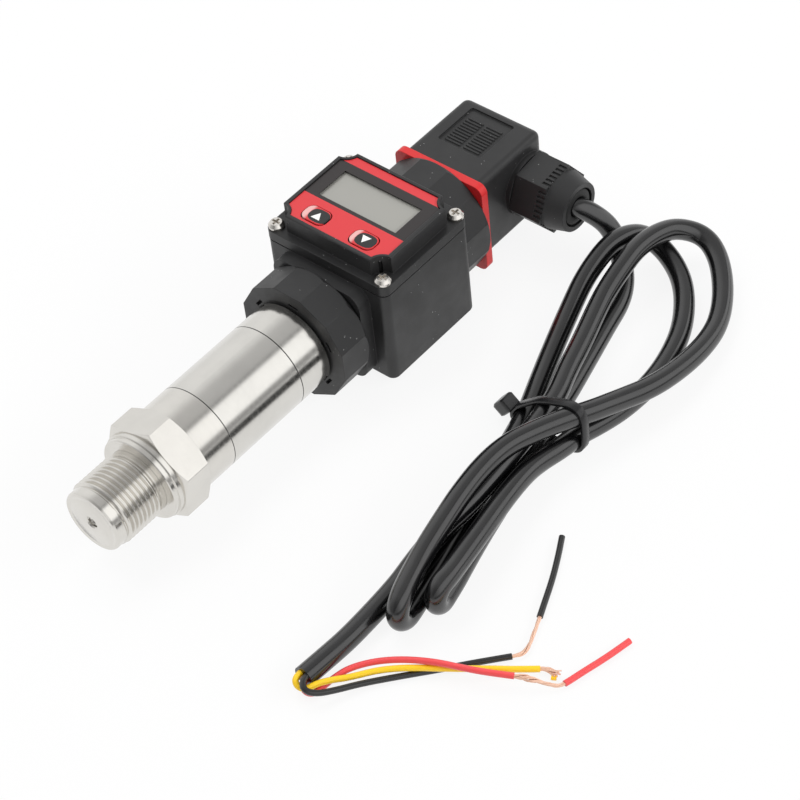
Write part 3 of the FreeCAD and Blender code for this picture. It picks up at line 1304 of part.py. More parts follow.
def lay_from_gland(label, shape):
    """A cable piece as a feature, placed from the gland's mouth on the surface."""
    item = doc.addObject("Part::Feature", label)
    item.Label = label
    item.Shape = shape
    item.Placement = Placement(Vector(value("gland_x + origin_shift"), value("gland_tip"), 0),
                               Rotation())
    return item


def closed_curve(points):
    """A smooth closed curve through points in the plan."""
    curve = Part.BSplineCurve()
    curve.interpolate([Vector(x, y, 0) for x, y in points], PeriodicFlag=True)
    return Part.Wire([curve.toShape()])


def tie_ring(slip):
    """The tie's strap: a flat band round the waist of the hank, down to the surface."""
    thick = value("tie_thickness")
    height = value("hank_height")
    width = value("tie_width")
    outer = Part.makeBox(width, TIE_HIGH_Y - TIE_LOW_Y + 2 * slip, height + 2 * slip,
                         Vector(TIE_X - width / 2, TIE_LOW_Y - slip, -slip))
    inner = Part.makeBox(width + 2, TIE_HIGH_Y - TIE_LOW_Y - 2 * thick - 2 * slip,
                         height - 2 * thick - 2 * slip,
                         Vector(TIE_X - width / 2 - 1, TIE_LOW_Y + thick + slip, thick + slip))
    return outer.cut(inner)


def make_hank():
    """Outer shape of the tied hank: two loops at one end, folds at the other."""
    height = value("hank_height")
    outline = Part.Face([closed_curve(HANK_OUTER), closed_curve(HANK_INNER)])
    solid = outline.extrude(Vector(0, 0, height))
    width = value("tie_width") + 2 * value("tie_slip")
    channel = tie_ring(value("tie_slip"))
    margin = value("hank_margin")
    thick = value("tie_thickness")
    low_side = Part.makeBox(width, margin, height + margin,
                            Vector(TIE_X - width / 2, TIE_LOW_Y - margin + thick, -margin / 2))
    high_side = Part.makeBox(width, margin, height + margin,
                             Vector(TIE_X - width / 2, TIE_HIGH_Y - thick, -margin / 2))
    return lay_from_gland("cable_hank", solid.cut(channel).cut(low_side).cut(high_side))


def make_tie():
    """Cable tie: strap and square head, at the waist of the hank."""
    head = value("tie_head")
    block_shape = Part.makeBox(head, head, value("tie_head_height"),
                               Vector(TIE_X - head / 2, TIE_HIGH_Y - 0.2, 3.0))
    return lay_from_gland("cable_tie", tie_ring(0).fuse(block_shape))


def make_cable():
    """Cable pieces, the three wires, their bare strands and the two slipped sleeves."""
    cable = value("cable_diameter / 2")
    wire = value("wire_radius")
    strand = value("strand_diameter / 2")
    pieces = [lay_from_gland("cable_lead", tube_along(LEAD_ROUTE, cable, "lead")),
              make_hank(), make_tie(),
              lay_from_gland("cable_tail", tube_along(TAIL_ROUTE, cable, "tail"))]
    for colour, route in WIRE_ROUTES.items():
        label = "wire_" + colour
        pieces.append(lay_from_gland(label, tube_along(route, wire, label)))
    for colour, route in BARE_ROUTES.items():
        label = "strands_" + colour
        pieces.append(lay_from_gland(label, tube_along(route, strand, label)))
    for colour, route in SLEEVE_ROUTES.items():
        label = "slipped_sleeve_" + colour
        bore = tube_along(route, strand + value("sleeve_slip"), label)
        pieces.append(lay_from_gland(label, tube_along(route, wire, label).cut(bore)))
    return pieces


# ---------------------------------------------------------------- build and export

def make_all():
    """Every piece of the transmitter, in the order that it goes together."""
    pieces = [make_pressure_port(), make_sensor_cell(), make_cell_seal(), make_cell_keeper(),
              make_sleeve(), make_end_ring(), make_amplifier_board()]
    pieces += [make_front_nut(), make_spigot(), make_lock_nut(),
               ring("spigot_seal", "neck_end", "flange_front", "end_ring_bore / 2",
                    "neck_diameter / 2")]
    pieces += [make_display_housing(), make_lid_seal(), make_display_lid(), make_face_label(),
               make_display_board(), make_switches(), make_lid_screws()]
    pieces += make_lcd()
    pieces += [make_button("button_up", ""), make_button("button_down", "-")]
    pieces += [make_rear_nut(),
               ring("base_seal", "rear_neck_end", "base_flange_front", "rear_bore / 2",
                    "base_flange_radius"),
               make_connector_base(), make_blades(), make_gasket(), make_connector_housing(),
               make_connector_insert(), make_terminal_screws()]
    pieces += make_connector_screw()
    pieces.append(make_gland_nut())
    pieces += make_gland_parts()
    pieces += make_cable()
    return pieces


def check_and_export(pieces):
    """Stop on any failed object or broken shape, then write one file for each piece."""
    doc.recompute()
    failed = [item.Name for item in doc.Objects
              if "Invalid" in item.State or "Error" in item.State]
    for item in pieces:
        if item.Shape.isNull() or not item.Shape.isValid() or not item.Shape.Solids:
            failed.append(item.Label)
    if failed:
        raise RuntimeError("failed objects: " + ", ".join(failed))
    os.makedirs("parts", exist_ok=True)
    for item in pieces:
        item.Shape.exportStep(os.path.join("parts", item.Label + ".step"))
        box = item.Shape.BoundBox
        print("%-20s %2d solids %9.1f mm3  x %.1f %.1f  y %.1f %.1f  z %.1f %.1f" % (
            item.Label, len(item.Shape.Solids), item.Shape.Volume,
            box.XMin, box.XMax, box.YMin, box.YMax, box.ZMin, box.ZMax))


check_and_export(make_all())
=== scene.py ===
import json
import math

import bmesh
import bpy
import numpy as np
from mathutils import Matrix, Vector


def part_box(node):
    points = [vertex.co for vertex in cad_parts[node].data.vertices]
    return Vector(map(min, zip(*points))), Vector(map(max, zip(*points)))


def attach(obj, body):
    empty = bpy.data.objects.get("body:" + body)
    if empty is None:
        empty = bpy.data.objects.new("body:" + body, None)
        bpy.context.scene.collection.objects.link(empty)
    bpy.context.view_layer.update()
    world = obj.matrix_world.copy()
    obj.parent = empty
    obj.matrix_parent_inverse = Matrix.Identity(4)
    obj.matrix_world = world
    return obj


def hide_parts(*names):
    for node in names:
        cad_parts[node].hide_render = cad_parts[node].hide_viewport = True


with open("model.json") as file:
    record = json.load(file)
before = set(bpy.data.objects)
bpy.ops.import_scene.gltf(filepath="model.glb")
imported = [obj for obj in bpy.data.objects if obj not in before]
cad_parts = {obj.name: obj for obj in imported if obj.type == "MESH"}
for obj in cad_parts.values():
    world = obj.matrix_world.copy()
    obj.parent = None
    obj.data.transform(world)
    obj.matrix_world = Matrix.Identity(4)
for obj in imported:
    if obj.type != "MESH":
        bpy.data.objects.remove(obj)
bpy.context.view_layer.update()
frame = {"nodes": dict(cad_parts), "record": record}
MM = 0.001

# ---------------------------------------------------------------- places read from the frame


def centre(node):
    """The middle of a CAD node's box, in metres."""
    low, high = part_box(node)
    return (low + high) / 2


AXIS_Z = centre("sensor_sleeve").z                 # height of the tube's axis
BOX_X = centre("face_label").x                     # middle of the display box along the tube
MOUTH = Vector((centre("gland_nut").x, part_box("gland_nut")[0].y, 0.0))
CABLE = 6.0 * MM
WIRE = 1.7 * MM


def on_axis(x, y=0.0, z=0.0):
    """A point given in millimetres from the middle of the display box, on the tube's axis."""
    return Vector((BOX_X + x * MM, y * MM, AXIS_Z + z * MM))


def from_mouth(x, y, z):
    """A point given in millimetres from the gland's mouth in plan and from the floor."""
    return MOUTH + Vector((x, y, z)) * MM


def all_from_mouth(points):
    """The same for a whole array of points."""
    return np.array(MOUTH) + np.array(points) * MM


# ---------------------------------------------------------------- camera

CAMERA_PLACE = on_axis(-392.97, -394.28, 533.66)
CAMERA_RIGHT = (0.63698449, -0.76640705, -0.08289143)
CAMERA_DOWN = (-0.59579093, -0.42122134, -0.68381705)
CAMERA_FORWARD = (0.48916657, 0.48496682, -0.72492983)
FOCAL_SHARE = 2795.04 / 800                        # focal length over the picture's width


def add_camera():
    """The camera by its place, its three axes and its focal length."""
    data = bpy.data.cameras.new("camera")
    data.sensor_width = 36.0
    data.lens = FOCAL_SHARE * data.sensor_width
    data.clip_start = 0.01
    data.clip_end = 20.0
    camera = bpy.data.objects.new("camera", data)
    bpy.context.scene.collection.objects.link(camera)
    right, down = Vector(CAMERA_RIGHT), Vector(CAMERA_DOWN)
    forward = Vector(CAMERA_FORWARD)
    turn = Matrix((right, -down, -forward)).transposed()
    camera.matrix_world = Matrix.Translation(CAMERA_PLACE) @ turn.to_4x4()
    bpy.context.scene.camera = camera


add_camera()

# ---------------------------------------------------------------- cable and wires

CABLE_ROUTE = [
    (0, 8, 17.7), (0, 4, 17.7), (0, 1, 17.7),
    (1.5, -1.3, 16.3), (3.1, -4.3, 14), (4.3, -7, 11), (3.7, -10, 7.9), (-0.7, -15.4, 5.6),
    (-6.1, -20, 4.3), (-12.6, -23.2, 3.6), (-21.2, -25, 3.1), (-32.8, -28, 3), (-47.9, -31.9, 3),
    (-57.2, -33.9, 3.2), (-70.8, -36.9, 3.4), (-88.3, -41.6, 3.5), (-100.4, -44.3, 3.7),
    # first fold, and back
    (-111.8, -47.3, 3.8), (-116.6, -48.6, 3.6), (-121.4, -49.7, 3.6), (-124.6, -50.4, 3.6),
    (-126.8, -50.8, 5.9), (-126.8, -50.9, 9), (-124.6, -50.9, 11.2), (-121.2, -50.7, 11.3),
    (-116.1, -49.7, 10.8), (-105, -47.8, 10.6), (-92.3, -45.3, 9.8), (-81.8, -43.6, 8.7),
    (-74.8, -43.4, 7.5), (-66.9, -44.5, 6.3), (-59.6, -44.6, 5.1), (-52.4, -46.4, 4.3),
    # inner loop
    (-44, -47.8, 3.5), (-32.7, -48.3, 3.2), (-22.3, -46.7, 3), (-11.9, -43.5, 3),
    (-3.1, -38.5, 3.2), (3.8, -32.8, 3.7), (8.1, -26.5, 4.7), (9.9, -20.4, 6.5),
    (8.5, -16.5, 9.1), (5, -15.2, 11.8), (0.4, -13.9, 13.1), (-2.8, -12.7, 12.4),
    (-7.9, -12.1, 10.4), (-15, -12.5, 8), (-22.2, -14.2, 5.9), (-31.9, -17.1, 4.3),
    (-41.4, -20.4, 3.5), (-51.1, -24.1, 3.2), (-59.5, -27.5, 3.1), (-72.8, -31, 3),
    (-84.5, -34.1, 3), (-96.4, -36.6, 3), (-108.4, -40.2, 3), (-118.2, -42.8, 3),
    # second fold, and back over the others
    (-124.8, -44.2, 3), (-130.4, -45.6, 3.1), (-133.7, -46.1, 3.1), (-136.2, -46.3, 5.5),
    (-136.2, -46.2, 8.9), (-133.8, -45.6, 11.3), (-130.1, -44.2, 11.6), (-122.5, -42, 11.8),
    (-115.9, -40.9, 13.3), (-108.6, -39.9, 14.6), (-100.8, -38.6, 15.4), (-90.1, -37.3, 15.5),
    (-80.7, -37.7, 15.5), (-71.9, -40.2, 14.6), (-63.6, -43.2, 13.5), (-56.1, -46.2, 11.9),
    # outer loop
    (-48.4, -48.3, 10.1), (-36.7, -52.3, 8.3), (-23.7, -53.3, 6.4), (-12.4, -52.5, 4.9),
    (-2.7, -49.9, 4), (7.3, -44.2, 4.4), (15.7, -36.7, 6), (18.7, -29.7, 8.5),
    (14.6, -23.4, 11.2), (7.4, -21.3, 13.3), (-1, -20.5, 13.9), (-8.8, -21.4, 13.2),
    (-15, -22, 11.8), (-20.8, -22.9, 10.5), (-36.2, -27.9, 9.7), (-45.7, -30.5, 9.3),
    # tail
    (-55, -34, 9.3), (-63.6, -35.5, 9.4), (-74.3, -36.5, 9.4), (-85.6, -37.7, 9.4),
    (-97.9, -38.8, 9.3), (-109.2, -38.2, 8.8), (-119.7, -38.5, 7.2), (-126, -38.5, 5),
    (-132.8, -38.2, 3.5), (-146.1, -38.4, 3), (-154.8, -37.9, 3.1), (-162.9, -37.5, 3.4),
]
WIRE_ROUTES = {
    "red": [(-161.8, -37.9, 2.8), (-164.1, -37.8, 2.42), (-165.2, -39.5, 1.39),
            (-164.2, -41.5, 0.9), (-160.8, -41.9, 0.9), (-157.3, -42.4, 1.07),
            (-153.1, -43.9, 1.8), (-148.1, -48.3, 2.7), (-144.1, -54.2, 3.76),
            (-140.5, -61.7, 4.62), (-137.6, -69.4, 4.6), (-135.1, -74.7, 4.4),
            (-132.2, -79.9, 4.1)],
    "yellow": [(-161.8, -36.6, 4.4), (-164.8, -36.4, 4.6), (-166.2, -38.0, 3.7),
               (-165.5, -40.2, 3.17), (-162.0, -41.3, 2.94), (-158.9, -43.3, 2.57),
               (-155.7, -46.1, 2.3), (-149.3, -50.8, 2.4), (-144.2, -57.2, 2.78),
               (-138.9, -64.9, 2.62), (-132.9, -72.8, 2.3), (-129.1, -77.7, 1.8),
               (-125.1, -82.3, 1.3)],
    "black": [(-161.8, -38.6, 4.7), (-164.8, -38.9, 5.35), (-166.8, -41.1, 4.9),
              (-165.3, -43.6, 3.88), (-160.8, -45.9, 2.3), (-154.9, -49.2, 1.4),
              (-146.2, -56.2, 0.9), (-139.6, -62.1, 0.9), (-132.8, -67.8, 0.91),
              (-125.9, -74.1, 1.0)]}

# The bare ends: route, how many filaments, how far the bundle spreads at its tip, and how
# much wider it is in the middle of its free stretch.
STRAND_ROUTES = {
    "red": ([(-132.6, -79.2, 4.1), (-130.75, -82.5, 3.95), (-128.4, -86.4, 2.1),
             (-126.6, -89.3, 1.1), (-123.2, -90.3, 0.9), (-119.6, -91.2, 0.9)], 13, 0.0, 1.1),
    "yellow": ([(-125.4, -81.9, 1.35), (-124.5, -83.0, 1.3), (-123.8, -84.6, 1.15),
                (-124.2, -86.8, 0.9)], 16, 0.75, 0.8),
    "black": ([(-126.3, -73.7, 1.0), (-124.13, -75.72, 1.02), (-121.3, -75.7, 0.95),
               (-117.8, -74.3, 0.9), (-113.6, -72.7, 0.9), (-108.0, -70.3, 0.9)], 11, 0.0, 0.25)}
# Bare length outside the sleeves, one filament's radius, its helix's radius and lay, and
# the length of the frayed tip, in millimetres.
FREE_STRETCH, FILAMENT, HELIX, LAY, TIP = 8.0, 0.17, 0.36, 11.0, 2.0


def round_cord(name, points, diameter, sides=10, steps=6):
    """A round cord along one open quadratic curve with clamped ends.

    The bevel is one metre deep and each point's radius scales it, because a curve's box is
    wider than its points by their radius.
    """
    curve = bpy.data.curves.new(name, "CURVE")
    curve.dimensions = "3D"
    curve.bevel_depth = 1.0
    curve.bevel_resolution = sides
    curve.resolution_u = steps
    curve.use_fill_caps = True
    spline = curve.splines.new("NURBS")
    spline.points.add(len(points) - 1)
    for spot, point in zip(spline.points, points):
        spot.co = (point.x, point.y, point.z, 1.0)
        spot.radius = diameter / 2
    spline.order_u = 3
    spline.use_endpoint_u = True
    cord = bpy.data.objects.new(name, curve)
    bpy.context.scene.collection.objects.link(cord)
    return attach(cord, "head")


def add_cable():
    """The cable from inside the gland, through the tied hank, to its cut end."""
    points = [from_mouth(*point) for point in CABLE_ROUTE]
    cable = round_cord("cable", points, CABLE, sides=12, steps=8)
    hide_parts("cable_lead", "cable_hank", "cable_tail")
    return cable


def add_wires():
    """The three cores, folded back under the cable's cut end."""
    wires = {}
    for colour, route in WIRE_ROUTES.items():
        points = [from_mouth(*point) for point in route]
        wire = round_cord("core_" + colour, points, WIRE, sides=6, steps=8)
        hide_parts("wire_" + colour)
        wires[colour] = wire
    return wires


cable, wires = add_cable(), add_wires()

# ---------------------------------------------------------------- node helpers


class Tree:
    """Adds nodes to one node tree: inputs are numbers, colours or other nodes' sockets."""

    def __init__(self, tree):
        self.tree = tree

    def add(self, kind, out=0, settings=None, **inputs):
        """A new node with its inputs set by name, given back as one of its outputs."""
        node = self.tree.nodes.new("ShaderNode" + kind)
        for key, setting in (settings or {}).items():
            setattr(node, key, setting)
        for key, given in inputs.items():
            self.feed(self.socket(node, key), given)
        return node.outputs[out]

    @staticmethod
    def socket(node, key):
        """The enabled input with that name, or with that place as _0, _1 or _2."""
        if key[0] == "_":
            return node.inputs[int(key[1:])]
        name = key.replace("_", " ")
        return [item for item in node.inputs if item.name == name and item.enabled][0]

    def feed(self, socket, given):
        """Link a socket, or set its value."""
        if isinstance(given, bpy.types.NodeSocket):
            self.tree.links.new(given, socket)
        elif isinstance(given, (tuple, list)) and len(given) == 3 and socket.type == "RGBA":
            socket.default_value = (*given, 1.0)
        else:
            socket.default_value = given

    def math(self, operation, first, second=0.0, third=0.0, clamp=False):
        """One Math node."""
        return self.add("Math", settings={"operation": operation, "use_clamp": clamp},
                        _0=first, _1=second, _2=third)

    def ramp(self, value, low, high, bottom=0.0, top=1.0):
        """A value carried from one range to another, smoothly and without leaving it."""
        return self.add("MapRange", settings={"interpolation_type": "SMOOTHSTEP"},
                        Value=value, From_Min=low, From_Max=high, To_Min=bottom, To_Max=top)

    def mix(self, share, first, second):
        """Two colours mixed."""
        node = self.tree.nodes.new("ShaderNodeMix")
        node.data_type = "RGBA"
        self.feed(node.inputs[0], share)
        self.feed(node.inputs[6], first)
        self.feed(node.inputs[7], second)
        return node.outputs[2]

    def noise(self, vector, scale, detail=2.0, rough=0.5):
        """A noise value between 0 and 1."""
        return self.add("TexNoise", Vector=vector, Scale=scale, Detail=detail, Roughness=rough)

    def place(self):
        """The point's own coordinates in the row frame."""
        return self.add("TexCoord", out=3)

    def parts(self, vector):
        """X, Y and Z of a vector."""
        node = self.tree.nodes.new("ShaderNodeSeparateXYZ")
        self.feed(node.inputs[0], vector)
        return node.outputs[0], node.outputs[1], node.outputs[2]


def effect(name, inputs, outputs, build):
    """A shader node group: inputs are {name: default}, and build returns the outputs' values."""
    group = bpy.data.node_groups.new(name, "ShaderNodeTree")
    for key, default in inputs.items():
        kind = "NodeSocketVector" if key == "Place" else "NodeSocketFloat"
        socket = group.interface.new_socket(key, in_out="INPUT", socket_type=kind)
        if key != "Place":
            socket.default_value = default
    for key in outputs:
        group.interface.new_socket(key, in_out="OUTPUT", socket_type="NodeSocketFloat")
    tree = Tree(group)
    entry = group.nodes.new("NodeGroupInput")
    leave = group.nodes.new("NodeGroupOutput")
    values = build(tree, {key: entry.outputs[key] for key in inputs})
    for key, result in zip(outputs, values):
        tree.feed(leave.inputs[key], result)
    return group


def use(tree, group, place, **inputs):
    """A group node's outputs by name."""
    node = tree.tree.nodes.new("ShaderNodeGroup")
    node.node_tree = group
    tree.feed(node.inputs["Place"], place)
    for key, given in inputs.items():
        tree.feed(node.inputs[key.replace("_", " ")], given)
    return node.outputs


def build_grain(tree, given):
    """Fine pits of spark-eroded moulded plastic, and slow changes in its polish."""
    fine = tree.noise(given["Place"], given["Scale"], 3.0, 0.65)
    slow = tree.noise(given["Place"], 90.0, 3.0, 0.6)
    return fine, slow


def build_specks(tree, given):
    """Sparse specks of dust and pale nicks."""
    cells = tree.add("TexVoronoi", Vector=given["Place"], Scale=given["Scale"])
    far = tree.noise(given["Place"], 160.0, 1.0)
    dot = tree.math("LESS_THAN", cells, given["Size"])
    patch = tree.math("GREATER_THAN", far, given["Spread"])
    return (tree.math("MULTIPLY", dot, patch),)


def build_turned(tree, given):
    """Lathe marks: fine rings about the tube's axis, on faces square to it too if asked."""
    x, y, z = tree.parts(given["Place"])
    up = tree.math("SUBTRACT", z, AXIS_Z)
    radius = tree.math("SQRT", tree.math("ADD", tree.math("MULTIPLY", y, y),
                                         tree.math("MULTIPLY", up, up)))
    along = tree.math("MULTIPLY_ADD", radius, given["Faces"], x)
    rings = tree.add("CombineXYZ", _0=tree.math("MULTIPLY", along, given["Scale"]),
                     _1=tree.math("MULTIPLY", y, 40.0), _2=tree.math("MULTIPLY", z, 40.0))
    fine = tree.noise(rings, 1.0, 4.0, 0.7)
    broad = tree.noise(rings, 0.12, 2.0, 0.5)
    return fine, broad


GRAIN = effect("moulded_grain", {"Place": None, "Scale": 3500.0}, ("Fine", "Slow"), build_grain)
SPECKS = effect("specks", {"Place": None, "Scale": 700.0, "Size": 0.085, "Spread": 0.6},
                ("Mask",), build_specks)
TURNED = effect("turned_marks", {"Place": None, "Scale": 9000.0, "Faces": 0.0},
                ("Fine", "Broad"), build_turned)

# ---------------------------------------------------------------- materials


def new_material(name):
    """An empty material, its tree helper and its shader."""
    material = bpy.data.materials.new(name)
    material.use_nodes = True
    shader = material.node_tree.nodes["Principled BSDF"]
    return material, Tree(material.node_tree), shader


def finish_shader(tree, shader, **inputs):
    """Set or link the shader's own sockets."""
    for key, given in inputs.items():
        tree.feed(shader.inputs[key.replace("_", " ")], given)


def soft_edge(tree, radius, samples=6):
    """Normals rounded over the edges of a piece."""
    return tree.add("Bevel", settings={"samples": samples}, Radius=radius)


def bumped(tree, height, strength, distance, normal=None):
    """A bump from a height."""
    extra = {} if normal is None else {"Normal": normal}
    return tree.add("Bump", Height=height, Strength=strength, Distance=distance, **extra)


def moulded_plastic(name, colour, rough=0.46, edge=0.3 * MM, grain=0.35, dust=0.56, pits=3500.0):
    """Black moulded plastic with a fine spark texture and a little dust."""
    material, tree, shader = new_material(name)
    place = tree.place()
    texture = use(tree, GRAIN, place, Scale=pits)
    dots = use(tree, SPECKS, place, Spread=dust)
    pale = tuple(0.35 + 0.3 * part for part in colour)
    finish_shader(tree, shader, Base_Color=tree.mix(dots["Mask"], colour, pale),
                  Roughness=tree.ramp(texture["Slow"], 0.3, 0.7, rough - 0.05, rough + 0.07),
                  Normal=bumped(tree, texture["Fine"], grain, 0.04 * MM, soft_edge(tree, edge)))
    shader.inputs["Specular IOR Level"].default_value = 0.5
    return material


def smooth_plastic(name, colour, rough=0.3, edge=0.15 * MM, coat=0.0, waves=0.0, gloss=0.5):
    """Smooth plastic, with a gloss coat or with slow waves where it was extruded."""
    material, tree, shader = new_material(name)
    place = tree.place()
    slow = tree.noise(place, 220.0, 2.0)
    finish_shader(tree, shader, Base_Color=colour,
                  Roughness=tree.ramp(slow, 0.3, 0.7, rough - 0.04, rough + 0.05),
                  Coat_Weight=coat, Coat_Roughness=0.12)
    shader.inputs["Specular IOR Level"].default_value = gloss
    normal = soft_edge(tree, edge) if edge else None
    if waves:
        normal = bumped(tree, slow, waves, 0.3 * MM, normal)
    if normal is not None:
        finish_shader(tree, shader, Normal=normal)
    return material


def turned_steel(name, colour, rough=0.17, marks=0.05, anisotropic=0.3, edge=0.1 * MM, seams=(),
                 faces=0.0, metallic=1.0):
    """Stainless steel with lathe marks round the tube's axis, and painted shade: a dark line in
    each seam between rings, where the groove lies in shade.
    """
    material, tree, shader = new_material(name)
    place = tree.place()
    lines = use(tree, TURNED, place, Faces=faces)
    tangent = tree.add("Tangent", settings={"direction_type": "RADIAL", "axis": "X"})
    stain = tree.noise(place, 130.0, 4.0, 0.6)
    tint = tree.mix(tree.ramp(stain, 0.35, 0.75), colour, tuple(0.95 * part for part in colour))
    # Painted shade: a thin dark line at each seam, standing in for the shade in the groove between
    # rings.
    for seam in seams:
        off = tree.math("ABSOLUTE", tree.math("SUBTRACT", tree.parts(place)[0], on_axis(seam).x))
        tint = tree.mix(tree.math("LESS_THAN", off, 0.13 * MM), tint, (0.05, 0.05, 0.05))
    finish_shader(tree, shader, Metallic=metallic, Base_Color=tint,
                  Roughness=tree.ramp(lines["Broad"], 0.3, 0.7, rough - 0.02, rough + 0.03),
                  Anisotropic=anisotropic, Tangent=tangent,
                  Normal=bumped(tree, lines["Fine"], marks, 0.01 * MM, soft_edge(tree, edge, 4)))
    return material


LABEL_BLACK, LABEL_RED = (0.02, 0.016, 0.016), (0.64, 0.035, 0.042)
# The buttons' slope: its red, and a pale painted highlight for its +Y end.
SLOPE_RED, SLOPE_HIGHLIGHT = (0.62, 0.03, 0.035), (0.75, 0.42, 0.40)
OVAL_BLACK, ARROW_WHITE = (0.014, 0.015, 0.015), (0.86, 0.86, 0.84)
# The face in plan, in millimetres from the box's middle: X is along the tube.
BLACK_BAND = (-4.3, 11.1)
BUTTON_X, BUTTON_HALF_X, BUTTON_HALF_Y, OVAL_POWER = -10.05, 2.42, 3.15, 2.7
UP_BUTTON_Y, DOWN_BUTTON_Y = 7.4, -9.1
UP_ARROW = {"base": -11.4, "tip": -8.8, "middle": 7.8, "half": 1.5}
DOWN_ARROW = {"base": -8.7, "tip": -11.3, "middle": -8.55, "half": 1.45}


def arrow(tree, x, y, base, tip, middle, half):
    """A mask of a plain triangle in plan, from its base to its tip along X, in millimetres."""
    near, far = on_axis(base).x, on_axis(tip).x
    share = tree.add("MapRange", Value=x, From_Min=near, From_Max=far, To_Min=1.0, To_Max=0.0)
    width = tree.math("MULTIPLY", share, half * MM)
    off = tree.math("ABSOLUTE", tree.math("SUBTRACT", y, middle * MM))
    inside = tree.math("LESS_THAN", off, width)
    sign = 1.0 if tip > base else -1.0
    past = tree.math("GREATER_THAN", tree.math("MULTIPLY", x, sign), near * sign)
    return tree.math("MULTIPLY", inside, past)


def button_face(name):
    """Embossed button: black oval with a white arrow, and the label's red slope round it, turning
    pale at its +Y end as a painted highlight.
    """
    material, tree, shader = new_material(name)
    x, y, _ = tree.parts(tree.place())
    side = tree.math("GREATER_THAN", y, 0.0)
    middle = tree.math("MULTIPLY_ADD", side, (UP_BUTTON_Y - DOWN_BUTTON_Y) * MM,
                       DOWN_BUTTON_Y * MM)
    across = tree.math("DIVIDE", tree.math("SUBTRACT", y, middle), BUTTON_HALF_Y * MM)
    along = tree.math("DIVIDE", tree.math("SUBTRACT", x, on_axis(BUTTON_X).x),
                      BUTTON_HALF_X * MM)
    power = [tree.math("POWER", tree.math("ABSOLUTE", part), OVAL_POWER)
             for part in (across, along)]
    oval = tree.math("LESS_THAN", tree.math("ADD", *power), 1.0)
    # Painted highlight: the slope pales towards each button's +Y end.
    slope = tree.mix(tree.ramp(across, 0.75, 1.15), SLOPE_RED, SLOPE_HIGHLIGHT)
    arrows = tree.math("MAXIMUM", arrow(tree, x, y, **UP_ARROW),
                       arrow(tree, x, y, **DOWN_ARROW))
    face = tree.mix(arrows, OVAL_BLACK, ARROW_WHITE)
    finish_shader(tree, shader, Base_Color=tree.mix(oval, slope, face), Roughness=0.34,
                  Normal=soft_edge(tree, 0.3 * MM))
    return material


def printed_label(name):
    """Red film with a black band across the display, in the row frame along X."""
    material, tree, shader = new_material(name)
    place = tree.place()
    x, _, _ = tree.parts(place)
    front = tree.math("LESS_THAN", x, on_axis(BLACK_BAND[0]).x)
    rear = tree.math("GREATER_THAN", x, on_axis(BLACK_BAND[1]).x)
    red = tree.math("ADD", front, rear, clamp=True)
    weave = tree.noise(place, 5200.0, 2.0)
    finish_shader(tree, shader, Base_Color=tree.mix(red, LABEL_BLACK, LABEL_RED),
                  Roughness=0.36, Normal=bumped(tree, weave, 0.12, 0.02 * MM))
    return material


STEEL = (0.69, 0.675, 0.64)
BLACK = (0.019, 0.019, 0.0195)
# The tube's seams, in millimetres from the box's middle, where the steel gets dark lines of painted
# shade.
SHADED_SEAMS = (-71.6, -44.3)
MATERIALS = {
    "stainless_steel": turned_steel("stainless_steel", STEEL, seams=SHADED_SEAMS),
    "satin_steel": turned_steel("satin_steel", (0.71, 0.69, 0.65), 0.2, 0.06, 0.0,
                                seams=SHADED_SEAMS[:1], faces=1.0),
    "cell_steel": turned_steel("cell_steel", (0.5, 0.5, 0.49), 0.32),
    "seal_rubber": smooth_plastic("seal_rubber", (0.012, 0.012, 0.012), 0.6),
    "board_green": smooth_plastic("board_green", (0.02, 0.13, 0.05), 0.4),
    "black_plastic": moulded_plastic("black_plastic", BLACK),
    "grey_plastic": moulded_plastic("grey_plastic", (0.09, 0.09, 0.095)),
    "label_film": printed_label("label_film"),
    "switch_black": smooth_plastic("switch_black", (0.02, 0.02, 0.02), 0.5),
    "screw_steel": turned_steel("screw_steel", (0.72, 0.69, 0.65), 0.2, 0.05, 0.0, 0.12 * MM),
    "lcd_glass": smooth_plastic("lcd_glass", (0.36, 0.355, 0.315), 0.32),
    "clear_pane": smooth_plastic("clear_pane", (0.315, 0.31, 0.285), 0.34, 0, 0.35),
    "tinned_brass": turned_steel("tinned_brass", (0.66, 0.6, 0.46), 0.3, 0.1, 0.0),
    "red_silicone": smooth_plastic("red_silicone", (0.62, 0.018, 0.02), 0.42, 0.35 * MM),
    "button_plastic": button_face("button_plastic"),
    "cable_jacket": smooth_plastic("cable_jacket", (0.004, 0.004, 0.0045), 0.19, 0, gloss=0.95),
    "tie_nylon": smooth_plastic("tie_nylon", (0.009, 0.009, 0.01), 0.3, 0.12 * MM),
    "wire_red": smooth_plastic("wire_red", (0.85, 0.075, 0.08), 0.34, 0, 0.2, 0.1),
    "wire_yellow": smooth_plastic("wire_yellow", (0.98, 0.62, 0.012), 0.34, 0, 0.2, 0.1),
    "wire_black": smooth_plastic("wire_black", (0.01, 0.01, 0.01), 0.3, 0, 0.4, 0.1),
    "copper": turned_steel("copper", (0.93, 0.62, 0.47), 0.5, 0.0, 0.0, 0.02 * MM, metallic=0.45),
}


def dress_frame():
    """Every CAD node takes the material of its slot in the record."""
    slots = {item["node"]: item["material_slot"] for item in frame["record"]["subparts"]}
    for node, piece in frame["nodes"].items():
        if piece.data is not None:
            piece.data.materials.clear()
            piece.data.materials.append(MATERIALS[slots[node]])


def dress(piece, slot, finish=None):
    """Give a new piece the material of a slot, or another finish of the same stuff."""
    piece.data.materials.clear()
    piece.data.materials.append(MATERIALS[finish or slot])
    return piece


# ---------------------------------------------------------------- new pieces


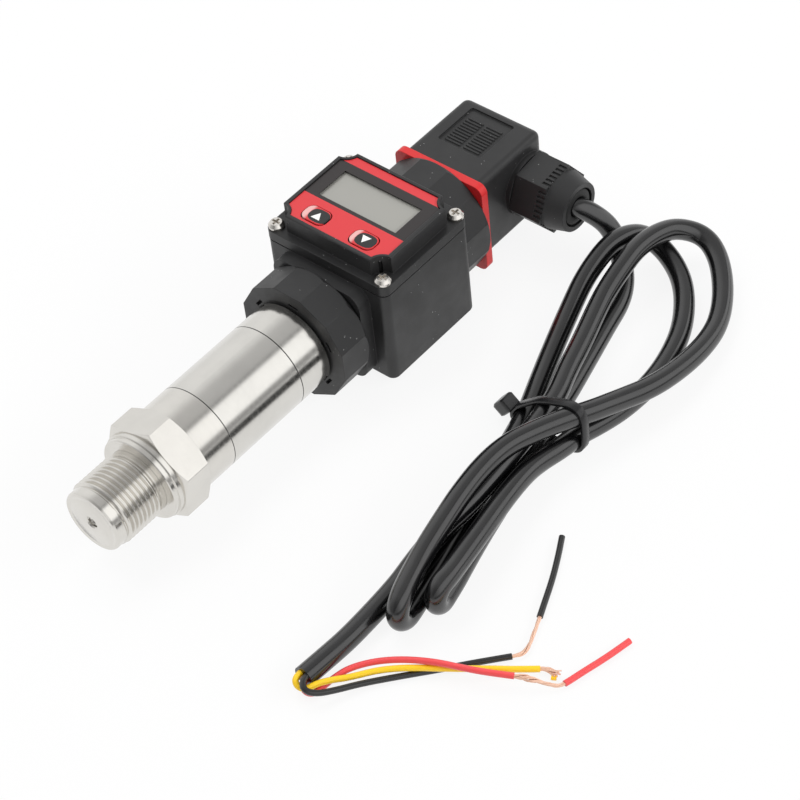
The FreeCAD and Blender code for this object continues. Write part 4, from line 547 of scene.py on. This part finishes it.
def grid_piece(name, points, body, slot, angle, looped=True, finish=None):
    """A closed mesh from a grid of points (rows, columns, 3), each row joined round.

    looped joins the last row to the first; otherwise the first and last rows are filled.
    Edges that turn by more than the angle, in degrees, stay sharp.
    """
    rows, columns = points.shape[:2]
    number = np.arange(rows * columns).reshape(rows, columns)
    number = np.hstack([number, number[:, :1]])
    if looped:
        number = np.vstack([number, number[:1]])
    quads = np.stack([number[:-1, :-1], number[:-1, 1:], number[1:, 1:], number[1:, :-1]],
                     axis=-1).reshape(-1, 4)
    faces = [list(map(int, quad)) for quad in quads]
    if not looped:
        faces += [list(map(int, number[0, :columns][::-1])), list(map(int, number[-1, :columns]))]
    mesh = bpy.data.meshes.new(name)
    mesh.from_pydata(points.reshape(-1, 3).tolist(), [], faces)
    weld = bmesh.new()
    weld.from_mesh(mesh)
    bmesh.ops.remove_doubles(weld, verts=weld.verts, dist=1e-6)
    bmesh.ops.recalc_face_normals(weld, faces=weld.faces)
    weld.to_mesh(mesh)
    weld.free()
    piece = bpy.data.objects.new(name, mesh)
    bpy.context.scene.collection.objects.link(piece)
    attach(piece, body)
    dress(piece, slot, finish)
    shade_smooth(mesh, angle)
    return piece


def shade_smooth(mesh, angle):
    """Smooth faces, with the edges that turn by more than an angle in degrees kept sharp."""
    edit = bmesh.new()
    edit.from_mesh(mesh)
    for edge in edit.edges:
        edge.smooth = len(edge.link_faces) == 2 and edge.calc_face_angle(0) < math.radians(angle)
    for face in edit.faces:
        face.smooth = True
    edit.to_mesh(mesh)
    edit.free()


# The port's own sizes, in millimetres: places and lengths along the axis, and radii.
PORT_TIP = (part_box("pressure_port")[0].x - BOX_X) / MM
PORT_BACK = (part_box("pressure_port")[1].x - BOX_X) / MM
SLEEVE_FRONT = (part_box("sensor_sleeve")[0].x - BOX_X) / MM
TUBE = (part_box("sensor_sleeve")[1].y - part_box("sensor_sleeve")[0].y) / 2 / MM
NOSE, NOSE_LENGTH = 9.3, 3.0
GROOVE_IN, GROOVE_OUT, GROOVE_SLOPE, GROOVE_DEPTH = 7.0, 8.15, 0.25, 0.12
INLET, INLET_CREST, INLET_PITCH, INLET_THREAD, INLET_BEVEL = 1.65, 1.4, 0.7, 4.9, 0.35
THREAD, THREAD_LENGTH, PITCH, THREAD_DEPTH = 10.0, 12.5, 1.5, 0.92
RELIEF, RELIEF_LENGTH = 8.8, 2.5
STEP, STEP_LENGTH, COLLAR, COLLAR_LENGTH = 12.7, 1.5, 13.2, 1.5
HEX_FLATS, HEX_TURN, HEX_LENGTH, HEX_ANGLE = 27.0, 40.0, 9.5, 25.0
POCKET, POCKET_FLOOR, SPIGOT_WALL = 9.55, 16.5, 1.9
# One tooth of each thread: places along the pitch, and radii.
INLET_TOOTH = [(0.62, INLET), (0.35, INLET_CREST), (0.08, INLET)]
ROOT = THREAD - THREAD_DEPTH
TOOTH = [(0.0, ROOT), (0.14, ROOT), (0.62, THREAD - 0.04), (0.70, THREAD),
         (0.80, THREAD), (0.88, THREAD - 0.04), (1.36, ROOT)]


def port_profile(turn):
    """Rows of (along, radius) for each angle in turn, from the inlet round to the inlet.

    A turned land is a row of equal radius for every angle. On the thread, a row keeps its
    place in the tooth: its place along is the tooth's own plus pitch times turn over a full
    circle, and its radius is the tooth's height there, held under a cone at both ends. On
    the hexagon, the radius is the flats' distance over the cosine of the angle from the
    middle of a flat, held under the cone that trims the corners.
    """
    one = np.ones_like(turn)
    share = turn / (2 * math.pi)
    rows = []

    def land(along, radius):
        rows.append((along * one, radius * one))

    land(PORT_TIP + POCKET_FLOOR, INLET)
    for number in range(int(INLET_THREAD / INLET_PITCH), -1, -1):
        for place, height in INLET_TOOTH:
            along = INLET_BEVEL + number * INLET_PITCH + place + INLET_PITCH * share
            held = np.clip(along, INLET_BEVEL, INLET_THREAD + INLET_BEVEL)
            rows.append((PORT_TIP + held, height * one))
    land(PORT_TIP + INLET_BEVEL, INLET)
    land(PORT_TIP, INLET + INLET_BEVEL)
    land(PORT_TIP, GROOVE_IN)
    land(PORT_TIP + GROOVE_DEPTH, GROOVE_IN + GROOVE_SLOPE)
    land(PORT_TIP + GROOVE_DEPTH, GROOVE_OUT - GROOVE_SLOPE)
    land(PORT_TIP, GROOVE_OUT)
    land(PORT_TIP, NOSE - 0.7)
    land(PORT_TIP + 0.2, NOSE - 0.3)
    land(PORT_TIP + 0.7, NOSE)
    front = PORT_TIP + NOSE_LENGTH
    back = front + THREAD_LENGTH
    land(front - 0.15, NOSE)
    for number in range(-1, int(THREAD_LENGTH / PITCH) + 2):
        for place, height in TOOTH:
            along = front + number * PITCH + place + PITCH * share
            held = np.clip(along, front, back)
            cone = np.minimum(NOSE + (held - front) * 1.1, THREAD + (back - held) * 3.0 - 0.4)
            height = np.where((along < front) | (along > back), ROOT, height)
            height = np.where(along < front, NOSE, height)
            rows.append((held, np.minimum(height, np.maximum(cone, ROOT))))
    step = back + RELIEF_LENGTH
    land(back + 0.1, RELIEF + 0.15)
    land(back + 0.35, RELIEF)
    land(step - 0.3, RELIEF)
    land(step, RELIEF + 0.3)
    land(step, STEP - 0.25)
    land(step + 0.25, STEP)
    land(step + STEP_LENGTH - 0.15, STEP)
    land(step + STEP_LENGTH, STEP + 0.1)
    land(step + STEP_LENGTH, COLLAR - 0.2)
    land(step + STEP_LENGTH + 0.2, COLLAR)
    hex_front = step + STEP_LENGTH + COLLAR_LENGTH
    hex_back = hex_front + HEX_LENGTH
    land(hex_front, COLLAR)
    sixth = math.pi / 3
    off = np.mod(turn - math.radians(HEX_TURN), sixth) - sixth / 2
    flats = HEX_FLATS / 2 / np.cos(off)
    slope = math.tan(math.radians(HEX_ANGLE))
    reach = (flats - HEX_FLATS / 2) * slope
    rows.append((hex_front * one, np.minimum(flats, HEX_FLATS / 2)))
    rows.append((hex_front + reach, flats))
    rows.append((hex_back - reach, flats))
    rows.append((hex_back * one, np.minimum(flats, HEX_FLATS / 2)))
    land(hex_back, TUBE + 0.12)
    land(hex_back + 0.12, TUBE)
    land(SLEEVE_FRONT - 0.12, TUBE)
    land(SLEEVE_FRONT, TUBE - 0.12)
    land(SLEEVE_FRONT, POCKET + SPIGOT_WALL)
    land(PORT_BACK, POCKET + SPIGOT_WALL)
    land(PORT_BACK, POCKET)
    land(PORT_TIP + POCKET_FLOOR, POCKET)
    return rows


def make_port(sides=240):
    """The threaded port as one closed surface of revolution, with its helix and hexagon."""
    turn = np.linspace(0, 2 * math.pi, sides, endpoint=False)
    rows = port_profile(turn)
    along = np.array([row[0] for row in rows])
    radius = np.array([row[1] for row in rows])
    middle = on_axis(0)
    points = np.stack([middle.x + along * MM, middle.y + radius * np.cos(turn) * MM,
                       middle.z + radius * np.sin(turn) * MM], axis=-1)
    port = grid_piece("port", points, "pressure_body", "stainless_steel", 28,
                      finish="satin_steel")
    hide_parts("pressure_port")


# Where the hank's five strands cross the tie's plane: across and up from the mouth's floor.
TIED = [(-34.9, 3.2), (-44.7, 5.5), (-27.8, 3.1), (-44.1, 13.0), (-35.1, 9.4)]
TIE_PLACE = -61.2
HANK_MIDDLE = 8.0                                  # the hank's middle height there
# The strap stands off the strands and the floor, and leans along the tube as it rises.
STRAP_GAP, STRAP_LIFT, STRAP_LEAN, STRAP_PASSES = 0.72, 0.62, 0.1, 18
STRAP_HALF, STRAP_THICK, STRAP_BEVEL = 1.3, 0.55, 0.15
HEAD_PLACE, HEAD_HALF_X, HEAD_HALF_Y, HEAD_TURN = (TIE_PLACE - 0.6, -22.1, 4.9), 2.35, 2.9, -52
# The head's rows: height from its middle, and the share of its half widths.
HEAD_ROWS = ((-2.1, 0.80), (-1.7, 1.0), (1.6, 1.0), (2.1, 0.82))


def hull(points):
    """Corners of the convex outline round points, anticlockwise."""
    points = sorted(map(tuple, points))

    def chain(sequence):
        kept = []
        for point in sequence:
            while len(kept) > 1 and ((kept[-1][0] - kept[-2][0]) * (point[1] - kept[-2][1])
                                     - (kept[-1][1] - kept[-2][1]) * (point[0] - kept[-2][0])) <= 0:
                kept.pop()
            kept.append(point)
        return kept[:-1]

    return np.array(chain(points) + chain(points[::-1]))


def make_tie():
    """Nylon tie: a flat strap round the strands, and its head.

    The strap's middle line is the convex outline of circles round the strands, spaced evenly
    and then averaged with its neighbours a number of times. Its section is a rectangle with
    cut corners, square to that line.
    """
    angles = np.radians(np.arange(0, 360, 8))
    rim = CABLE / 2 / MM + STRAP_GAP
    loop = hull([(y + rim * math.cos(a), max(z + rim * math.sin(a), STRAP_LIFT))
                 for y, z in TIED for a in angles])
    step = np.linalg.norm(np.roll(loop, -1, 0) - loop, axis=1)
    run = np.concatenate([[0], np.cumsum(step)])
    even = np.linspace(0, run[-1], 120, endpoint=False)
    ring = np.stack([np.interp(even, run, np.append(loop[:, axis], loop[0, axis]))
                     for axis in (0, 1)], axis=1)
    for _ in range(STRAP_PASSES):
        ring = 0.5 * ring + 0.25 * (np.roll(ring, 1, 0) + np.roll(ring, -1, 0))
    ring[:, 1] = np.maximum(ring[:, 1], STRAP_LIFT)
    way = np.roll(ring, -1, 0) - np.roll(ring, 1, 0)
    way /= np.linalg.norm(way, axis=1)[:, None]
    out = np.stack([way[:, 1], -way[:, 0]], axis=1)
    half, thick, cut = STRAP_HALF, STRAP_THICK, STRAP_BEVEL
    section = [(-half, -thick + cut), (-half + cut, -thick), (half - cut, -thick),
               (half, -thick + cut), (half, thick - cut), (half - cut, thick),
               (-half + cut, thick), (-half, thick - cut)]
    rows = np.stack([np.stack([TIE_PLACE + across + STRAP_LEAN * (ring[:, 1] - HANK_MIDDLE),
                               ring[:, 0] + out[:, 0] * up, ring[:, 1] + out[:, 1] * up], axis=-1)
                     for across, up in section], axis=1)
    strap = grid_piece("tie_strap", all_from_mouth(rows), "head", "tie_nylon", 50)
    make_tie_head()
    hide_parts("cable_tie")


def make_tie_head(sides=32, power=7):
    """The tie's head: a block with bevelled edges, leaning against the hank.

    Each row is the rounded square where the seventh powers of the two shares of its half
    widths add up to one; the first and last rows are drawn in.
    """
    turn = np.linspace(0, 2 * math.pi, sides, endpoint=False) + math.pi / sides
    shape = (np.abs(np.cos(turn)) ** power + np.abs(np.sin(turn)) ** power) ** (-1 / power)
    points = np.array([np.stack([share * HEAD_HALF_X * shape * np.cos(turn),
                                 share * HEAD_HALF_Y * shape * np.sin(turn),
                                 np.full(sides, up)], axis=-1) for up, share in HEAD_ROWS])
    lean = math.radians(HEAD_TURN)
    y = points[..., 1] * math.cos(lean) - points[..., 2] * math.sin(lean)
    z = points[..., 1] * math.sin(lean) + points[..., 2] * math.cos(lean)
    points = np.stack([points[..., 0], y, z], axis=-1)
    points = all_from_mouth(HEAD_PLACE) + points * MM
    head = grid_piece("tie_head", points, "head", "tie_nylon", 40, looped=False)
    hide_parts("cable_tie")


# The rubber lip's section: radius, and how far inside the gland's mouth, in millimetres.
LIP_SECTION = [(3.02, 3.8), (3.02, 0.6), (3.2, 0.3), (3.6, 0.15), (4.6, 0.12), (5.3, 0.25),
               (5.6, 0.6), (5.65, 1.4), (5.65, 3.8)]


def make_grommet_lip(sides=64):
    """Rubber lip round the cable in the gland's mouth, a round-edged ring turned about Y."""
    turn = np.linspace(0, 2 * math.pi, sides, endpoint=False)
    middle = from_mouth(0, 0, 0)
    points = np.array([np.stack([middle.x + radius * np.cos(turn) * MM,
                                 np.full_like(turn, middle.y + inward * MM),
                                 AXIS_Z + radius * np.sin(turn) * MM], axis=-1)
                       for radius, inward in LIP_SECTION])
    grid_piece("grommet_lip", points, "head", "seal_rubber", 40)


def smooth_path(points, count):
    """Points evenly along a quadratic curve with clamped ends, by cutting corners four times."""
    path = np.array(points, float)
    for _ in range(4):
        near = 0.75 * path[:-1] + 0.25 * path[1:]
        far = 0.25 * path[:-1] + 0.75 * path[1:]
        path = np.vstack([path[:1], np.stack([near, far], 1).reshape(-1, 3), path[-1:]])
    run = np.concatenate([[0], np.cumsum(np.linalg.norm(np.diff(path, axis=0), axis=1))])
    even = np.linspace(0, run[-1], count)
    return np.stack([np.interp(even, run, path[:, axis]) for axis in range(3)], 1), run[-1]


def square_frame(path):
    """Two unit vectors square to a path at each of its points, one of them level."""
    way = np.gradient(path, axis=0)
    way /= np.linalg.norm(way, axis=1)[:, None]
    side = np.cross(way, (0.0, 0.0, 1.0))
    side /= np.linalg.norm(side, axis=1)[:, None]
    return side, np.cross(side, way)


def make_strands(colour, samples=40, sides=8):
    """Twisted copper filaments: round tubes carried along helices about the bare end's route.

    Each helix has its own first angle and turns once in a lay. Its radius is none, the whole
    or three quarters of HELIX; it is larger by the bulge in the middle of the free stretch,
    with a sine squared, and over the tip it grows by its share of the spread, with a square.
    """
    route, count, spread, bulge = STRAND_ROUTES[colour]
    path, length = smooth_path(route, samples)
    side, up = square_frame(path)
    along = np.linspace(0, length, samples)
    wide = 1 + bulge * np.sin(math.pi * np.clip(along / FREE_STRETCH, 0, 1)) ** 2
    for number in range(count):
        ring = HELIX * (0.0, 1.0, 1.0, 0.75)[number % 4]
        angle = 2 * math.pi * (number / max(count - 1, 1) + along / LAY)
        fray = np.clip((along - length + TIP) / TIP, 0, 1) ** 2
        part = ring * wide + spread * (0.4 + 0.6 * (number % 3)) * fray
        line = path + part[:, None] * (np.cos(angle)[:, None] * side + np.sin(angle)[:, None] * up)
        line[:, 2] = np.maximum(line[:, 2], FILAMENT + 0.01)
        across, above = square_frame(line)
        turn = np.linspace(0, 2 * math.pi, sides, endpoint=False)
        tube = line[:, None] + FILAMENT * (np.cos(turn)[:, None] * across[:, None]
                                           + np.sin(turn)[:, None] * above[:, None])
        piece = grid_piece("filament_%s_%d" % (colour, number + 1), all_from_mouth(tube), "head",
                           "copper", 60, looped=False)
        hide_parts("strands_" + colour)


SCRAP_ROUTE = [(-125.3, -85.9, 0.75), (-125.0, -86.5, 0.7), (-124.6, -87.0, 0.65)]
SCRAP_OUT, SCRAP_IN = 0.62, 0.4                    # its outer and inner radius, millimetres


def make_yellow_scrap(samples=8, sides=20):
    """A torn scrap of the yellow core's insulation among its strands, a short open tube."""
    path, _ = smooth_path(SCRAP_ROUTE, samples)
    side, up = square_frame(path)
    turn = np.linspace(0, 2 * math.pi, sides, endpoint=False)
    ring = np.cos(turn)[:, None] * side[:, None] + np.sin(turn)[:, None] * up[:, None]
    tube = np.concatenate([path[:, None] + SCRAP_OUT * ring,
                           (path[:, None] + SCRAP_IN * ring)[::-1]])
    scrap = grid_piece("yellow_scrap", all_from_mouth(tube), "head", "wire_yellow", 50)
    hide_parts("strands_yellow")


dress_frame()
make_port()
make_tie()
make_grommet_lip()
for colour in STRAND_ROUTES:
    make_strands(colour)
make_yellow_scrap()
dress(cable, "cable_jacket")
for colour, wire in wires.items():
    dress(wire, "wire_" + colour)

# ---------------------------------------------------------------- stage and light

TARGET = on_axis(0, -30, -10)
FLOOR_HALF, FLOOR_DROP = 0.36, 0.0002
FLOOR_WHITE = 0.88                                 # share of plain white seen in the floor


def add_floor():
    """Pale ground under the object: white to the camera, softly shaded near the object."""
    size = FLOOR_HALF
    mesh = bpy.data.meshes.new("ground")
    mesh.from_pydata([(-size, -size, 0), (size, -size, 0), (size, size, 0), (-size, size, 0)],
                     [], [(0, 1, 2, 3)])
    ground = bpy.data.objects.new("ground", mesh)
    bpy.context.scene.collection.objects.link(ground)
    ground.location = (TARGET.x, TARGET.y, -FLOOR_DROP)
    material, tree, shader = new_material("ground_white")
    finish_shader(tree, shader, Base_Color=(0.82, 0.82, 0.82), Roughness=0.9)
    output = [node for node in tree.tree.nodes if node.type == "OUTPUT_MATERIAL"][0]
    white = tree.add("Emission", Color=(1.0, 1.0, 1.0), Strength=1.0)
    seen = tree.add("LightPath", out="Is Camera Ray")
    mirrored = tree.add("LightPath", out="Is Glossy Ray")
    share = tree.math("MULTIPLY", tree.math("MAXIMUM", seen, mirrored), FLOOR_WHITE)
    tree.feed(output.inputs["Surface"],
              tree.add("MixShader", _0=share, _1=shader.outputs[0], _2=white))
    mesh.materials.append(material)


def add_softbox(name, place, power, width, height):
    """A rectangular area light aimed at the object, not mirrored in its surfaces."""
    data = bpy.data.lights.new(name, "AREA")
    data.shape = "RECTANGLE"
    data.size = width
    data.size_y = height
    data.energy = power
    light = bpy.data.objects.new(name, data)
    bpy.context.scene.collection.objects.link(light)
    light.location = place
    light.visible_glossy = False
    light.rotation_euler = (TARGET - Vector(place)).to_track_quat("-Z", "Y").to_euler()


# The surroundings' brightness by angle about the tube: 0 is up, 90 is to the gland's side.
SURROUNDINGS = [(-180, 0.80), (-95, 0.92), (-60, 1.0), (-38, 0.98), (-14, 0.62), (16, 0.56),
                (21, 0.34), (26, 0.40), (31, 1.3), (74, 1.35), (79, 0.34), (88, 0.34),
                (94, 0.7), (180, 0.8)]


def add_world():
    """Studio surroundings: pale, with a bright bank and dark gaps that run along the tube."""
    world = bpy.data.worlds.new("surroundings")
    world.use_nodes = True
    tree = Tree(world.node_tree)
    x, y, z = tree.parts(tree.add("TexCoord", out=0))
    turn = tree.math("ARCTAN2", tree.math("MULTIPLY", y, -1.0), z)
    ramp = world.node_tree.nodes.new("ShaderNodeValToRGB")
    tree.feed(ramp.inputs[0], tree.math("MULTIPLY_ADD", turn, 0.5 / math.pi, 0.5))
    stops = ramp.color_ramp.elements
    while len(stops) < len(SURROUNDINGS):
        stops.new(0.5)
    for stop, (angle, level) in zip(stops, SURROUNDINGS):
        stop.position = angle / 360 + 0.5
        stop.color = (level / 2, level / 2, level / 2, 1.0)
    seen = tree.add("LightPath", out="Is Camera Ray")
    back = world.node_tree.nodes["Background"]
    level = tree.mix(tree.ramp(x, -1.0, -0.25, 0.6, 0.0), ramp.outputs[0], (0.0, 0.0, 0.0))
    tree.feed(back.inputs["Color"], tree.mix(seen, level, (0.5, 0.5, 0.5)))
    back.inputs["Strength"].default_value = 2.0
    bpy.context.scene.world = world


add_floor()
add_world()
add_softbox("bank", (0.30, -0.85, 0.55), 3.4, 1.0, 0.2)
add_softbox("overhead", (0.05, 0.35, 0.9), 3.4, 0.8, 0.4)

bpy.context.scene.view_settings.view_transform = "Standard"
